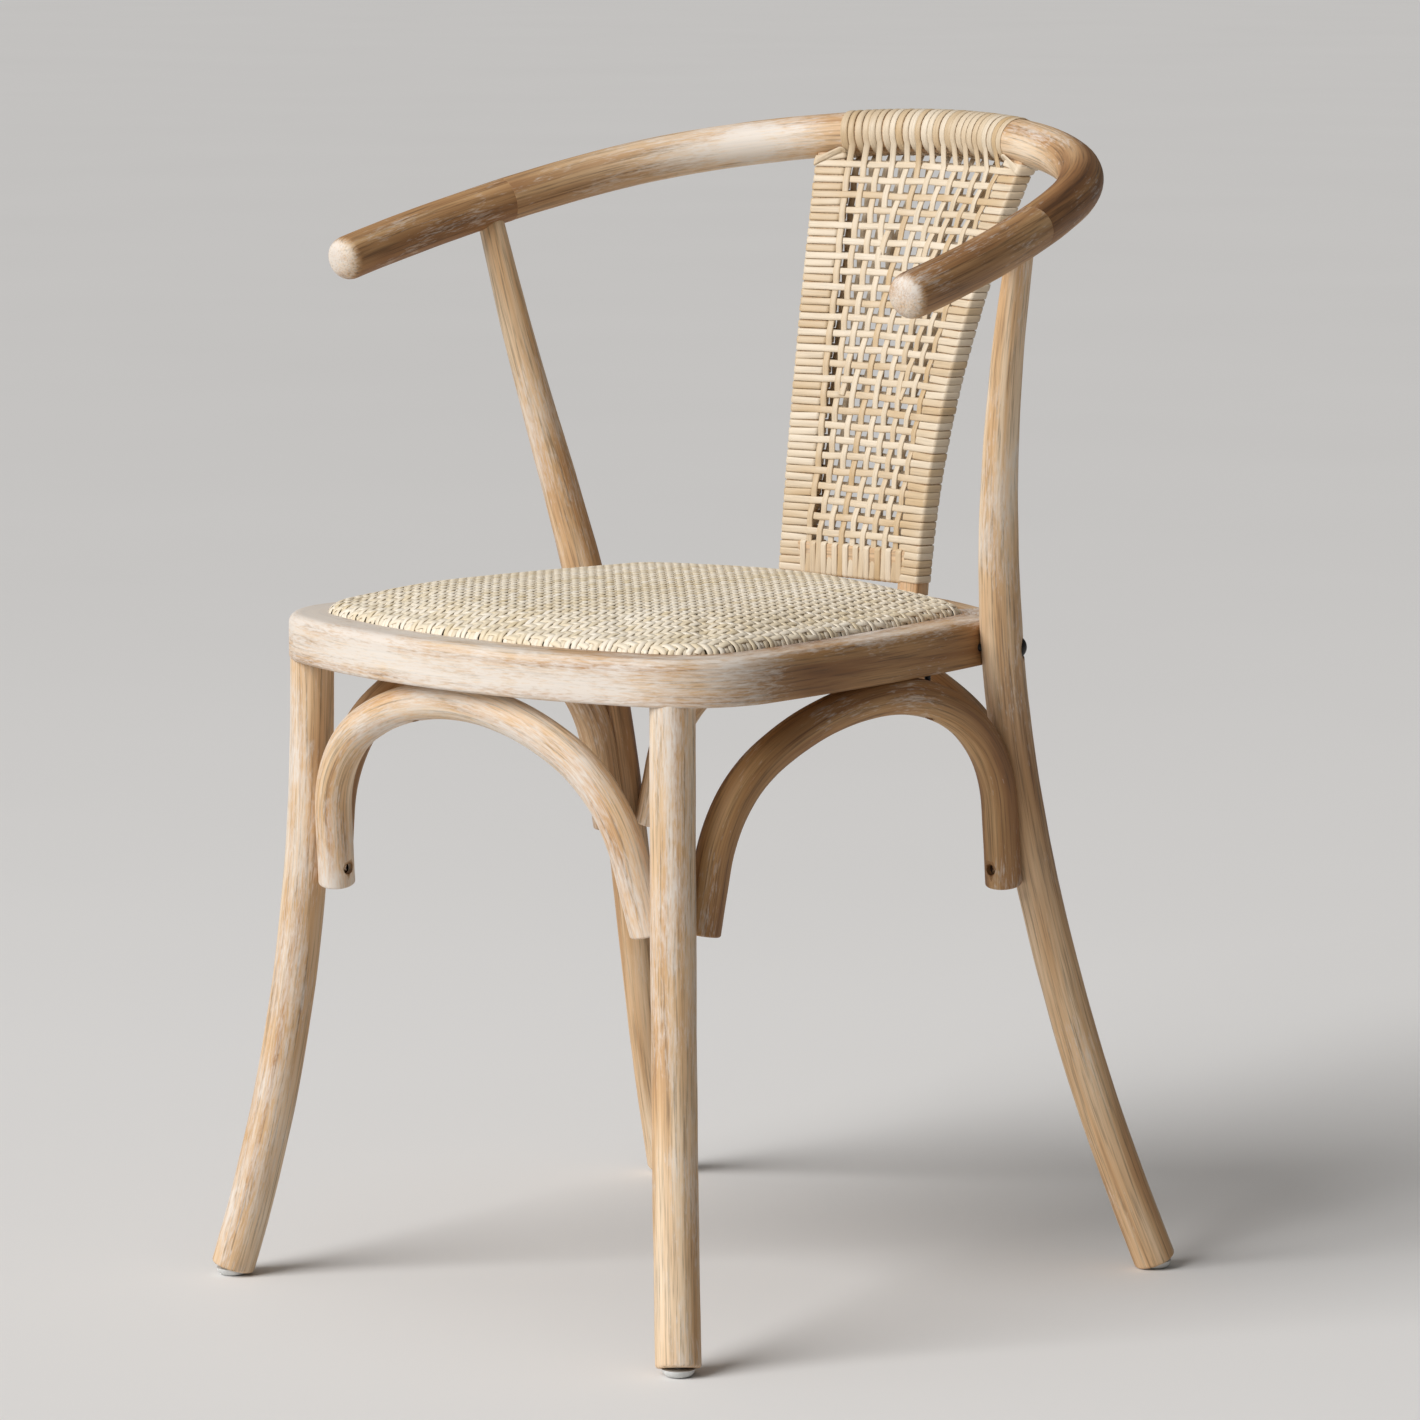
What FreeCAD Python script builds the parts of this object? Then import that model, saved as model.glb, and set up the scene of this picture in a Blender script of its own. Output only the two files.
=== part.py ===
import FreeCAD, Part
import math
import os
from FreeCAD import Vector

# Millimetres. +X is the sitter's left, -Y is the front, +Z is up, the floor is z = 0.
# The chair is symmetrical about x = 0, and y = 0 is the middle of its depth.

# Seat frame: four bowed lines that meet at rounded corners
seat_top = 459.5
frame_thick = 31.5
frame_front_half = 210.0
frame_front_y = -209.0
frame_front_bow = 50.5
frame_rear_half = 178.0
frame_rear_y = 110.0
frame_rear_bow = 56.5
frame_side_bow = 9.0
front_corner_radius = 75.0
rear_corner_radius = 45.0
opening_corner_radius = 8.0
frame_upper_round = 7.0
frame_lower_round = 2.5
rim_width = 28.0
ledge_width = 15.0
ledge_depth = 10.0
back_rail_sweep = 28.0
frame_dowel_dia = 8.0
frame_dowel_length = 40.0
frame_dowel_spread = 9.0

# Seat pad
pad_crown = 21.0
pad_squareness = 2.5
cover_thick = 1.6
board_thick = 8.0
pad_gap = 0.4
pad_middle_y = -50.0
board_screw_length = 26.0
board_screw_x = 95.0
board_screw_from_recess = 9.0

# Rail: three arcs on each side, in a plane that slopes down to the front
rail_dia = 31.0
rail_back_y = 246.9
rail_back_height = 775.0
rail_slope = 14.3
rail_back_radius = 270.0
rail_back_sweep = 38.0
rail_shoulder_radius = 198.0
rail_shoulder_sweep = 32.0
rail_arm_radius = 545.0
rail_arm_sweep = 20.5
post_before_tip = 124.0
splice_behind_post = 16.0
splice_dowel_dia = 10.0
splice_dowel_length = 18.0

# Rear legs: the line of the leg at the floor, the calf, the seat and the waist
rear_leg_dia = 29.0
rear_leg_top_dia = 18.0
rear_foot_x = 235.6
rear_foot_y = 209.0
rear_calf_x = 202.0
rear_calf_y = 139.5
rear_calf_height = 214.0
rear_seat_x = 195.5
rear_seat_y = 86.0
rear_waist_x = 217.5
rear_waist_y = 58.0
rear_waist_height = 578.0
post_tenon_dia = 11.0
post_tenon_length = 8.0

# Front legs: upright at the seat, kicked out towards the corner at the foot
front_leg_dia = 30.0
front_leg_x = 170.0
front_leg_y = -208.6
front_kick_x = 44.0
front_kick_y = 40.7
front_kick_power = 2.2
leg_tenon_dia = 20.0
leg_tenon_length = 18.0

# Feet
glide_dia = 22.0
glide_flat_dia = 12.0
glide_height = 5.0
glide_pin_dia = 4.0
glide_pin_length = 16.0

# Braces: arches of one round stock, let a little into the legs
brace_dia = 25.0
brace_foot_height = 276.0
brace_crown_bite = 2.0
brace_leg_bite = 0.8
brace_shoulder_radius = 95.0
brace_crown_sweep = 30.0
brace_foot_splay = 8.5
front_brace_lean = 28.0
front_brace_set_back = 5.0
rear_brace_lean = 14.0
side_brace_lean = 9.0
side_crown_shift = 20.0
side_brace_rear_heading = 20.0
brace_foot_screw_up = 12.0
brace_screw_length = 34.0
crown_screw_half_spread = 38.0
crown_screw_length = 38.0
screw_head_dia = 8.0
screw_head_height = 3.5
screw_dia = 4.0
screw_recess = 4.0

# Bolts that hold the rear legs to the seat frame
bolt_dia = 6.0
bolt_head_dia = 14.0
bolt_head_height = 3.8
bolt_height = 441.0
bolt_grip = 80.0
bolt_heading = 43.5
bolt_flat_depth = 1.5
washer_dia = 16.0
washer_thick = 1.4
nut_across_flats = 10.0
nut_height = 5.0
nut_pocket_dia = 18.0

# Back: two flat stiles that lean, hollow and flare, and a crosspiece
stile_width = 22.0
stile_depth = 12.0
stile_foot_x = 55.0
stile_foot_y = 153.0
stile_lean = 26.0
stile_hollow = 44.0
stile_flare = 30.0
stile_foot_turn = 11.0
stile_top_turn = 19.0
stile_tenon_length = 14.0
stile_tenon_shoulder = 3.0
stile_run_under_rail = 13.0
crosspiece_up = 8.0
crosspiece_height = 22.0
crosspiece_depth = 11.0
crosspiece_tenon = 6.0

# Rattan on the back
wrap_thick = 1.2
wrap_foot_up = 8.0
rail_wrap_half_turn = 16.5
weave_thick = 2.4
weave_rows = 24
weave_columns = 10
strand_width = 5.5

seat_bottom = seat_top - frame_thick
seat_middle = seat_bottom + frame_thick / 2
ledge_top = seat_top - ledge_depth
front_leg_r = front_leg_dia / 2
rear_leg_r = rear_leg_dia / 2
brace_r = brace_dia / 2
rail_r = rail_dia / 2
up = Vector(0, 0, 1)
reach = 1000.0
sides = {"left": 1, "right": -1}


def mirrored(point, side):
    return Vector(point.x * side, point.y, point.z)


def arc(a, b, c):
    return Part.Arc(a, b, c).toShape()


def ring_wire(centre, normal, radius):
    # a circle in four arcs, all starting from the same heading
    across = Vector(1, 0, 0) - normal * normal.x
    across.normalize()
    along = normal.cross(across)
    spot = []
    for step in range(8):
        turn = math.radians(45 * step)
        spot.append(centre + (across * math.cos(turn) + along * math.sin(turn)) * radius)
    edges = [arc(spot[i], spot[i + 1], spot[(i + 2) % 8]) for i in (0, 2, 4, 6)]
    return Part.Wire(edges)


def tapered_tube(points, headings, radii):
    rings = [ring_wire(p, h, r) for p, h, r in zip(points, headings, radii)]
    return Part.makeLoft(rings, True, False)


def round_tube(edges, radius):
    path = Part.Wire(edges)
    first = edges[0]
    start = first.valueAt(first.FirstParameter)
    heading = first.tangentAt(first.FirstParameter)
    return path.makePipeShell([ring_wire(start, heading, radius)], True, False)


def rod(start, heading, radius, length):
    return Part.makeCylinder(radius, length, start, heading)


def slab(low, high):
    return Part.makeBox(2 * reach, 2 * reach, high - low, Vector(-reach, -reach, low))


def save(name, *solids):
    shape = solids[0] if len(solids) == 1 else Part.makeCompound(list(solids))
    shape.exportStep("parts/" + name + ".step")
    volume = sum(s.Volume for s in shape.Solids)
    print(f"{name}: {len(shape.Solids)} solid, {volume / 1000:.2f} cm3, valid {shape.isValid()}")


# Seat frame

def bow_circle(a, b, bow, bulge):
    # centre and radius of the arc from a to b that bulges by the bow
    half = (b - a).Length / 2
    radius = (half ** 2 + bow ** 2) / (2 * bow)
    return (a + b) / 2 + bulge * (bow - radius), radius


front_left = Vector(frame_front_half, frame_front_y, 0)
rear_left = Vector(frame_rear_half, frame_rear_y, 0)
side_out = (rear_left - front_left).cross(up).normalize()
front_line = bow_circle(mirrored(front_left, -1), front_left, frame_front_bow, Vector(0, -1, 0))
side_line = bow_circle(front_left, rear_left, frame_side_bow, side_out)
rear_line = bow_circle(rear_left, mirrored(rear_left, -1), frame_rear_bow, Vector(0, 1, 0))


def circles_meet(centre_a, radius_a, centre_b, radius_b, near):
    span = centre_b - centre_a
    gap = span.Length
    along = (radius_a ** 2 - radius_b ** 2 + gap ** 2) / (2 * gap)
    across = math.sqrt(radius_a ** 2 - along ** 2)
    span.normalize()
    foot = centre_a + span * along
    meets = [foot + up.cross(span) * across, foot - up.cross(span) * across]
    return min(meets, key=lambda p: (p - near).Length)


def outward(centre, radius, point):
    heading = point - centre
    heading.normalize()
    return centre + heading * radius


def rounded_corner(line_a, line_b, inset, radius, near):
    # the arc that rounds the corner of two bowed lines: start, middle and end
    centre_a, radius_a = line_a
    centre_b, radius_b = line_b
    round_r = max(radius - inset, opening_corner_radius)
    middle = circles_meet(centre_a, radius_a - inset - round_r, centre_b, radius_b - inset - round_r, near)
    start = outward(centre_a, radius_a - inset, middle)
    end = outward(centre_b, radius_b - inset, middle)
    return start, outward(middle, round_r, (start + end) / 2), end


def bow_point(line, inset, heading):
    centre, radius = line
    return centre + heading * (radius - inset)


def outline(height, inset):
    # the seat frame's outer line, moved inwards, as eight arcs
    front = rounded_corner(front_line, side_line, inset, front_corner_radius, front_left)
    rear = rounded_corner(side_line, rear_line, inset, rear_corner_radius, rear_left)
    side = outward(side_line[0], side_line[1] - inset, (front[2] + rear[0]) / 2)
    half = [arc(*front), arc(front[2], side, rear[0]), arc(*rear)]
    other = [e.mirror(Vector(0, 0, 0), Vector(1, 0, 0)) for e in half]
    front_arc = arc(mirrored(front[0], -1), bow_point(front_line, inset, Vector(0, -1, 0)), front[0])
    rear_arc = arc(rear[2], bow_point(rear_line, inset, Vector(0, 1, 0)), mirrored(rear[2], -1))
    wire = Part.Wire([front_arc] + half + [rear_arc] + other[::-1])
    wire.translate(up * height)
    return wire


def prism(wire, height):
    return Part.Face(wire).extrude(up * height)


def edges_at(solid, height):
    return [e for e in solid.Edges if abs(e.BoundBox.ZMin - height) < 0.001 and e.BoundBox.ZLength < 0.001]


def frame_ring(block):
    ring = block.makeFillet(frame_upper_round, edges_at(block, seat_top))
    ring = ring.makeFillet(frame_lower_round, edges_at(ring, seat_bottom))
    recess = prism(outline(ledge_top, rim_width), frame_thick)
    opening = prism(outline(seat_bottom - 1, rim_width + ledge_width), frame_thick)
    return ring.cut(recess).cut(opening)


def line_y(line, x, inset, side):
    # where a bowed line, moved inwards, stands at x
    centre, radius = line
    return centre.y + side * math.sqrt((radius - inset) ** 2 - x ** 2)


def back_rail_wedge():
    # the sector that the back rail fills, seen from above
    corners = [rear_line[0]]
    for turn in (back_rail_sweep, -back_rail_sweep):
        angle = math.radians(turn)
        corners.append(rear_line[0] + Vector(math.sin(angle), math.cos(angle), 0) * reach)
    return prism(Part.makePolygon(corners + [corners[0]]), seat_top + 1)


def frame_dowels():
    dowels = []
    middle = rear_line[1] - (rim_width + ledge_width) / 2
    height = (seat_bottom + ledge_top) / 2
    for side in (1, -1):
        angle = math.radians(back_rail_sweep * side)
        out = Vector(math.sin(angle), math.cos(angle), 0)
        along = Vector(math.cos(angle), -math.sin(angle), 0)
        for shift in (-frame_dowel_spread, frame_dowel_spread):
            centre = rear_line[0] + out * (middle + shift) + up * height
            start = centre - along * (frame_dowel_length / 2)
            dowels.append(rod(start, along, frame_dowel_dia / 2, frame_dowel_length))
    return dowels


# Seat pad

def dome(edge, crown):
    # a crown over the outline, squarer than an ellipse
    rings = []
    for angle in (0, 18, 36, 54, 70, 82):
        ring = edge.copy()
        share = math.cos(math.radians(angle)) ** (2 / pad_squareness)
        lift = math.sin(math.radians(angle)) ** (2 / pad_squareness)
        ring.scale(share, Vector(0, pad_middle_y, edge.BoundBox.ZMin))
        ring.translate(up * (crown * lift))
        rings.append(ring)
    return Part.makeLoft(rings, True, False)


def pad_pieces():
    board_top = ledge_top + board_thick
    inner = rim_width + pad_gap + cover_thick
    crown = pad_crown + seat_top - board_top
    board = prism(outline(ledge_top, inner), board_thick)
    foam = dome(outline(board_top, inner), crown)
    skirt = prism(outline(ledge_top, rim_width + pad_gap), board_thick)
    skin = dome(outline(board_top, rim_width + pad_gap), crown + cover_thick)
    cover = skirt.fuse(skin).removeSplitter().cut(board).cut(foam)
    return board, foam, cover


def board_screws():
    screws = []
    inset = rim_width + board_screw_from_recess
    for side in (1, -1):
        x = board_screw_x * side
        for y in (line_y(front_line, x, inset, -1), line_y(rear_line, x, inset, 1)):
            screws.append(wood_screw(Vector(x, y, seat_bottom), up, board_screw_length))
    return screws


# Fasteners

def wood_screw(start, heading, length):
    # countersunk, with its flat head at the start point
    head = Part.makeCone(screw_head_dia / 2, screw_dia / 2, screw_head_height, start, heading)
    shank = rod(start, heading, screw_dia / 2, length)
    return head.fuse(shank).removeSplitter()


def screw_well(start, heading):
    # the bore above a sunk screw head
    return rod(start - heading * brace_dia, heading, screw_head_dia / 2, brace_dia)


def bolt_line(side):
    angle = math.radians(bolt_heading)
    inward = Vector(-math.cos(angle) * side, -math.sin(angle), 0)
    head_seat = Vector(rear_seat_x * side, rear_seat_y, bolt_height) - inward * (rear_leg_r - bolt_flat_depth)
    return head_seat, inward


def bolt_pieces(side):
    seat, inward = bolt_line(side)
    end = bolt_grip + washer_thick + nut_height + 2
    shank = rod(seat, inward, bolt_dia / 2, end)
    ball_r = (bolt_head_dia ** 2 / 4 + bolt_head_height ** 2) / (2 * bolt_head_height)
    ball = Part.makeSphere(ball_r, seat + inward * (ball_r - bolt_head_height))
    head = ball.common(rod(seat, inward * -1, bolt_head_dia, 2 * bolt_head_height))
    bolt = head.fuse(shank).removeSplitter()
    washer_seat = seat + inward * bolt_grip
    washer = rod(washer_seat, inward, washer_dia / 2, washer_thick)
    nut_seat = washer_seat + inward * washer_thick
    nut = hexagon(nut_seat, inward).extrude(inward * nut_height)
    return bolt, washer.cut(shank), nut.cut(shank)


def hexagon(centre, normal):
    corner_r = nut_across_flats / math.sqrt(3)
    across = normal.cross(up)
    spots = []
    for step in range(7):
        turn = math.radians(60 * step)
        spots.append(centre + (across * math.cos(turn) + up * math.sin(turn)) * corner_r)
    return Part.Face(Part.makePolygon(spots))


def bolt_bores(side):
    # what the bolt takes out of the leg and the seat frame: bore, head flat, nut pocket
    seat, inward = bolt_line(side)
    bore = rod(seat, inward, bolt_dia / 2, bolt_grip)
    flat = rod(seat, inward * -1, bolt_head_dia, bolt_head_dia)
    pocket = rod(seat + inward * bolt_grip, inward, nut_pocket_dia / 2, rim_width + ledge_width)
    return bore, flat, pocket


# Rail

def rail_arcs():
    # (radius, turn where it starts, turn where it ends) from the middle of the back
    shoulder = rail_back_sweep + rail_shoulder_sweep
    return [
        (rail_back_radius, 0, rail_back_sweep),
        (rail_shoulder_radius, rail_back_sweep, shoulder),
        (rail_arm_radius, shoulder, shoulder + rail_arm_sweep),
    ]


rail_tip_turn = rail_back_sweep + rail_shoulder_sweep + rail_arm_sweep
post_turn = rail_tip_turn - math.degrees(post_before_tip / rail_arm_radius)
splice_turn = post_turn - math.degrees(splice_behind_post / rail_arm_radius)


def rail_point(turn):
    # a point on the rail's axis, by how far the rail has turned from the middle of the back
    x = 0.0
    forward = 0.0
    size = abs(turn)
    for radius, start, end in rail_arcs():
        a = math.radians(start)
        b = math.radians(min(max(size, start), end))
        x += radius * (math.sin(b) - math.sin(a))
        forward += radius * (math.cos(a) - math.cos(b))
    slope = math.radians(rail_slope)
    y = rail_back_y - forward * math.cos(slope)
    return Vector(math.copysign(x, turn), y, rail_back_height - forward * math.sin(slope))


def rail_heading(turn):
    step = rail_point(turn + 0.01) - rail_point(turn - 0.01)
    step.normalize()
    return step


def rail_path(start, end):
    stops = {start, end}
    for radius, low, high in rail_arcs():
        for turn in (low, high, -high):
            if start < turn < end:
                stops.add(turn)
    stops = sorted(stops)
    edges = []
    for a, b in zip(stops, stops[1:]):
        edges.append(arc(rail_point(a), rail_point((a + b) / 2), rail_point(b)))
    return edges


def rail_pieces():
    back = round_tube(rail_path(-splice_turn, splice_turn), rail_r)
    arms = {}
    for name, side in sides.items():
        turns = sorted((splice_turn * side, rail_tip_turn * side))
        tube = round_tube(rail_path(*turns), rail_r)
        tip = Part.makeSphere(rail_r, rail_point(rail_tip_turn * side))
        arms[name] = tube.fuse(tip).removeSplitter()
    return back, arms


def splice_dowel(side):
    heading = rail_heading(splice_turn * side)
    start = rail_point(splice_turn * side) - heading * (splice_dowel_length / 2)
    return rod(start, heading, splice_dowel_dia / 2, splice_dowel_length)


# Legs

def front_leg_axis(height):
    kick = max(1 - height / seat_bottom, 0) ** front_kick_power
    return Vector(front_leg_x + front_kick_x * kick, front_leg_y - front_kick_y * kick, height)


def front_leg(side):
    heights = [seat_bottom * step / 8 for step in range(-1, 9)]
    points = [mirrored(front_leg_axis(h), side) for h in heights]
    steps = [front_leg_axis(h + 0.1) - front_leg_axis(h - 0.1) for h in heights]
    headings = [mirrored(step, side).normalize() for step in steps]
    leg = tapered_tube(points, headings, [front_leg_r] * len(points))
    tenon = rod(points[-1], up, leg_tenon_dia / 2, leg_tenon_length)
    leg = leg.cut(slab(-reach, glide_height)).fuse(tenon)
    return leg, tenon


def rear_leg_curve():
    line = Part.BSplineCurve()
    line.interpolate([
        Vector(rear_foot_x, rear_foot_y, 0),
        Vector(rear_calf_x, rear_calf_y, rear_calf_height),
        Vector(rear_seat_x, rear_seat_y, seat_middle),
        Vector(rear_waist_x, rear_waist_y, rear_waist_height),
        rail_point(post_turn),
    ])
    return line


def rear_leg_at(height):
    line = rear_leg_curve()
    low, high = line.FirstParameter, line.LastParameter
    for _ in range(40):
        middle = (low + high) / 2
        if line.value(middle).z < height:
            low = middle
        else:
            high = middle
    return line.value(low)


def rear_leg_radius(height):
    # full below the seat, tapering evenly from there to the rail
    if height < seat_top:
        return rear_leg_r
    share = (height - seat_top) / (rail_point(post_turn).z - seat_top)
    return rear_leg_r + (rear_leg_top_dia / 2 - rear_leg_r) * share


def rear_leg(side):
    line = rear_leg_curve()
    first, last = line.FirstParameter, line.LastParameter
    points = []
    headings = []
    for step in range(15):
        place = first + (last - first) * step / 14
        points.append(line.value(place))
        headings.append(line.tangent(place)[0])
    points.insert(0, points[0] - headings[0] * rear_leg_dia)
    headings.insert(0, headings[0])
    radii = [rear_leg_radius(p.z) for p in points]
    points = [mirrored(p, side) for p in points]
    headings = [mirrored(h, side) for h in headings]
    leg = tapered_tube(points, headings, radii).cut(slab(-reach, glide_height))
    tenon_foot = points[-1] - headings[-1] * rail_dia
    tenon = rod(tenon_foot, headings[-1], post_tenon_dia / 2, rail_dia + post_tenon_length / 2)
    return leg, tenon


def glide(centre):
    # a dome with a flat under it and a pin up into the leg
    r = glide_dia / 2
    flat = glide_flat_dia / 2
    rim = Vector(r, 0, glide_height)
    turn = math.radians(45)
    bulge = Vector(flat + (r - flat) * math.sin(turn), 0, glide_height * (1 - math.cos(turn)))
    edges = [
        Part.makeLine(Vector(0, 0, 0), Vector(flat, 0, 0)),
        arc(Vector(flat, 0, 0), bulge, rim),
        Part.makeLine(rim, Vector(0, 0, glide_height)),
        Part.makeLine(Vector(0, 0, glide_height), Vector(0, 0, 0)),
    ]
    cap = Part.Face(Part.Wire(edges)).revolve(Vector(0, 0, 0), up, 360)
    pin = rod(Vector(0, 0, glide_height), up, glide_pin_dia / 2, glide_pin_length)
    piece = cap.fuse(pin).removeSplitter()
    piece.translate(Vector(centre.x, centre.y, 0))
    return piece


# Braces

class Arch:
    # an arch over two splayed feet, whose crown leans and may stand nearer one foot

    def __init__(self, foot_a, foot_b, lean, shift=0):
        along = (foot_b - foot_a).normalize()
        base = (foot_a + foot_b) / 2 + along * shift
        crown = base + lean
        crown.z = seat_bottom - brace_r + brace_crown_bite
        self.along = along
        self.rise = (crown - base).normalize()
        self.crown = crown
        self.height = (crown - base).Length
        self.half = {-1: (base - foot_a).Length, 1: (foot_b - base).Length}
        self.turn = math.radians(brace_crown_sweep)
        self.splay = math.radians(brace_foot_splay)
        self.last = math.pi / 2 - self.splay

    def crown_radius(self, side):
        # so that the straight foot, at its splay, ends on the foot's point
        wide = brace_shoulder_radius * (math.sin(self.last) - math.sin(self.turn))
        deep = brace_shoulder_radius * (math.cos(self.turn) - math.cos(self.last))
        slope = math.tan(self.splay)
        room = self.half[side] - wide - slope * (self.height - deep)
        return room / (math.sin(self.turn) - slope * (1 - math.cos(self.turn)))

    def at(self, side, angle):
        # a point on the arch, by its turn from the crown
        turn = min(angle, self.turn)
        radius = self.crown_radius(side)
        along = radius * math.sin(turn)
        down = radius * (1 - math.cos(turn))
        if angle > self.turn:
            along += brace_shoulder_radius * (math.sin(angle) - math.sin(turn))
            down += brace_shoulder_radius * (math.cos(turn) - math.cos(angle))
        return self.crown + self.along * (along * side) - self.rise * down

    def foot(self, side):
        return self.crown + self.along * (self.half[side] * side) - self.rise * self.height

    def half_path(self, side):
        # from the foot up to the crown
        bend = (self.turn + self.last) / 2
        return [
            (self.foot(side), self.at(side, self.last)),
            (self.at(side, self.last), self.at(side, bend), self.at(side, self.turn)),
            (self.at(side, self.turn), self.at(side, self.turn / 2), self.crown),
        ]

    def tube(self):
        runs = self.half_path(-1) + [run[::-1] for run in self.half_path(1)[::-1]]
        edges = [Part.makeLine(*run) if len(run) == 2 else arc(*run) for run in runs]
        return round_tube(edges, brace_r)

    def foot_screws(self):
        screws = []
        for side in (1, -1):
            out = self.along * side
            foot = self.foot(side)
            climb = (self.at(side, self.last) - foot).normalize()
            start = foot + climb * brace_foot_screw_up - out * (brace_r - screw_recess)
            screws.append((start, out, brace_screw_length))
        return screws

    def crown_screws(self):
        screws = []
        for side in (1, -1):
            point = self.at(side, math.asin(crown_screw_half_spread / self.crown_radius(side)))
            screws.append((point - up * (brace_r - screw_recess), up, crown_screw_length))
        return screws


def brace_arches():
    front = front_leg_axis(brace_foot_height)
    rear = rear_leg_at(brace_foot_height)
    in_front = front_leg_r + brace_r - brace_leg_bite
    in_rear = rear_leg_r + brace_r - brace_leg_bite
    arches = {
        "front": front_rear_arch(front, Vector(-in_front, front_brace_set_back, 0), -front_brace_lean),
        "rear": front_rear_arch(rear, Vector(-in_rear, 0, 0), rear_brace_lean),
    }
    heading = math.radians(side_brace_rear_heading)
    for name, side in sides.items():
        a = mirrored(front + Vector(0, in_front, 0), side)
        b = mirrored(rear - Vector(math.sin(heading), math.cos(heading), 0) * in_rear, side)
        arches[name] = Arch(a, b, Vector(side_brace_lean * side, 0, 0), side_crown_shift)
    return arches


def front_rear_arch(leg_point, to_foot, lean):
    foot = leg_point + to_foot
    return Arch(mirrored(foot, -1), foot, Vector(0, lean, 0))


# Back

stile_foot_z = seat_top
stile_top_z = rail_back_height - rail_r - stile_run_under_rail


def stile_share(height):
    return (height - stile_foot_z) / (stile_top_z - stile_foot_z)


def stile_line(height):
    share = stile_share(height)
    x = stile_foot_x + stile_flare * share ** 2
    y = stile_foot_y + stile_lean * share + stile_hollow * share ** 2
    return Vector(x, y, height)


def stile_bar(side, low, high, grow, steps=6):
    # a flat bar along the stile's line, grown outwards on every side
    rings = []
    for step in range(steps + 1):
        height = low + (high - low) * step / steps
        centre = stile_line(height)
        turn = math.radians(stile_foot_turn + (stile_top_turn - stile_foot_turn) * stile_share(height))
        wide = Vector(math.cos(turn), -math.sin(turn), 0) * (stile_width / 2 + grow)
        deep = Vector(math.sin(turn), math.cos(turn), 0) * (stile_depth / 2 + grow)
        spots = [centre - wide - deep, centre + wide - deep, centre + wide + deep, centre - wide + deep]
        spots = [mirrored(s, side) for s in spots]
        rings.append(Part.makePolygon(spots + [spots[0]]))
    return Part.makeLoft(rings, True, False)


def stile(side):
    bar = stile_bar(side, stile_foot_z, rail_back_height, 0)
    tenons = [
        stile_bar(side, stile_foot_z - stile_tenon_length, stile_foot_z, -stile_tenon_shoulder, 1),
        stile_bar(side, stile_top_z, rail_back_height, -stile_tenon_shoulder, 2),
    ]
    return bar, tenons


crosspiece_z = stile_foot_z + crosspiece_up + crosspiece_height / 2


def crosspiece(grow, tenon):
    centre = stile_line(crosspiece_z)
    turn = math.radians(stile_foot_turn)
    half = centre.x - stile_width / 2 * math.cos(turn) + tenon
    low = Vector(-half, centre.y - crosspiece_depth / 2 - grow, crosspiece_z - crosspiece_height / 2 - grow)
    return Part.makeBox(2 * half, crosspiece_depth + 2 * grow, crosspiece_height + 2 * grow, low)


def weave_sheet():
    # the curved sheet that the woven panel lies in, as wide as the back
    low = crosspiece_z
    high = rail_back_height
    fronts = []
    backs = []
    for step in range(5):
        height = low + (high - low) * step / 4
        middle = stile_line(height).y
        fronts.append(Vector(-reach, middle - weave_thick / 2, height))
        backs.append(Vector(-reach, middle + weave_thick / 2, height))
    front = Part.BSplineCurve()
    front.interpolate(fronts)
    back = Part.BSplineCurve()
    back.interpolate(backs)
    edges = [
        front.toShape(),
        Part.makeLine(fronts[-1], backs[-1]),
        back.toShape(),
        Part.makeLine(backs[0], fronts[0]),
    ]
    return Part.Face(Part.Wire(Part.__sortEdges__(edges))).extrude(Vector(2 * reach, 0, 0))


def weave_x(column, height):
    # strand lines that fan out with the stiles
    edge = stile_line(height).x
    return edge * (2 * column / (weave_columns - 1) - 1) * (weave_columns - 1) / (weave_columns + 1)


def net():
    # one face with a gap between each pair of strands, standing across the panel
    low = crosspiece_z
    high = rail_back_height
    pitch = (high - low) / weave_rows
    half = strand_width / 2
    edge_low = stile_line(low).x
    edge_high = stile_line(high).x
    border = [
        Vector(-edge_low, 0, low),
        Vector(edge_low, 0, low),
        Vector(edge_high, 0, high),
        Vector(-edge_high, 0, high),
    ]
    wires = [Part.makePolygon(border + [border[0]])]
    for row in range(weave_rows):
        bottom = low + pitch * row + half
        top = low + pitch * (row + 1) - half
        for column in range(weave_columns - 1):
            gap = []
            for height, places in ((bottom, (column, column + 1)), (top, (column + 1, column))):
                for place in places:
                    inwards = half if place == column else -half
                    gap.append(Vector(weave_x(place, height) + inwards, 0, height))
            wires.append(Part.makePolygon(gap + [gap[0]]))
    return Part.Face(wires, "Part::FaceMakerBullseye").extrude(Vector(0, reach, 0))


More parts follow.
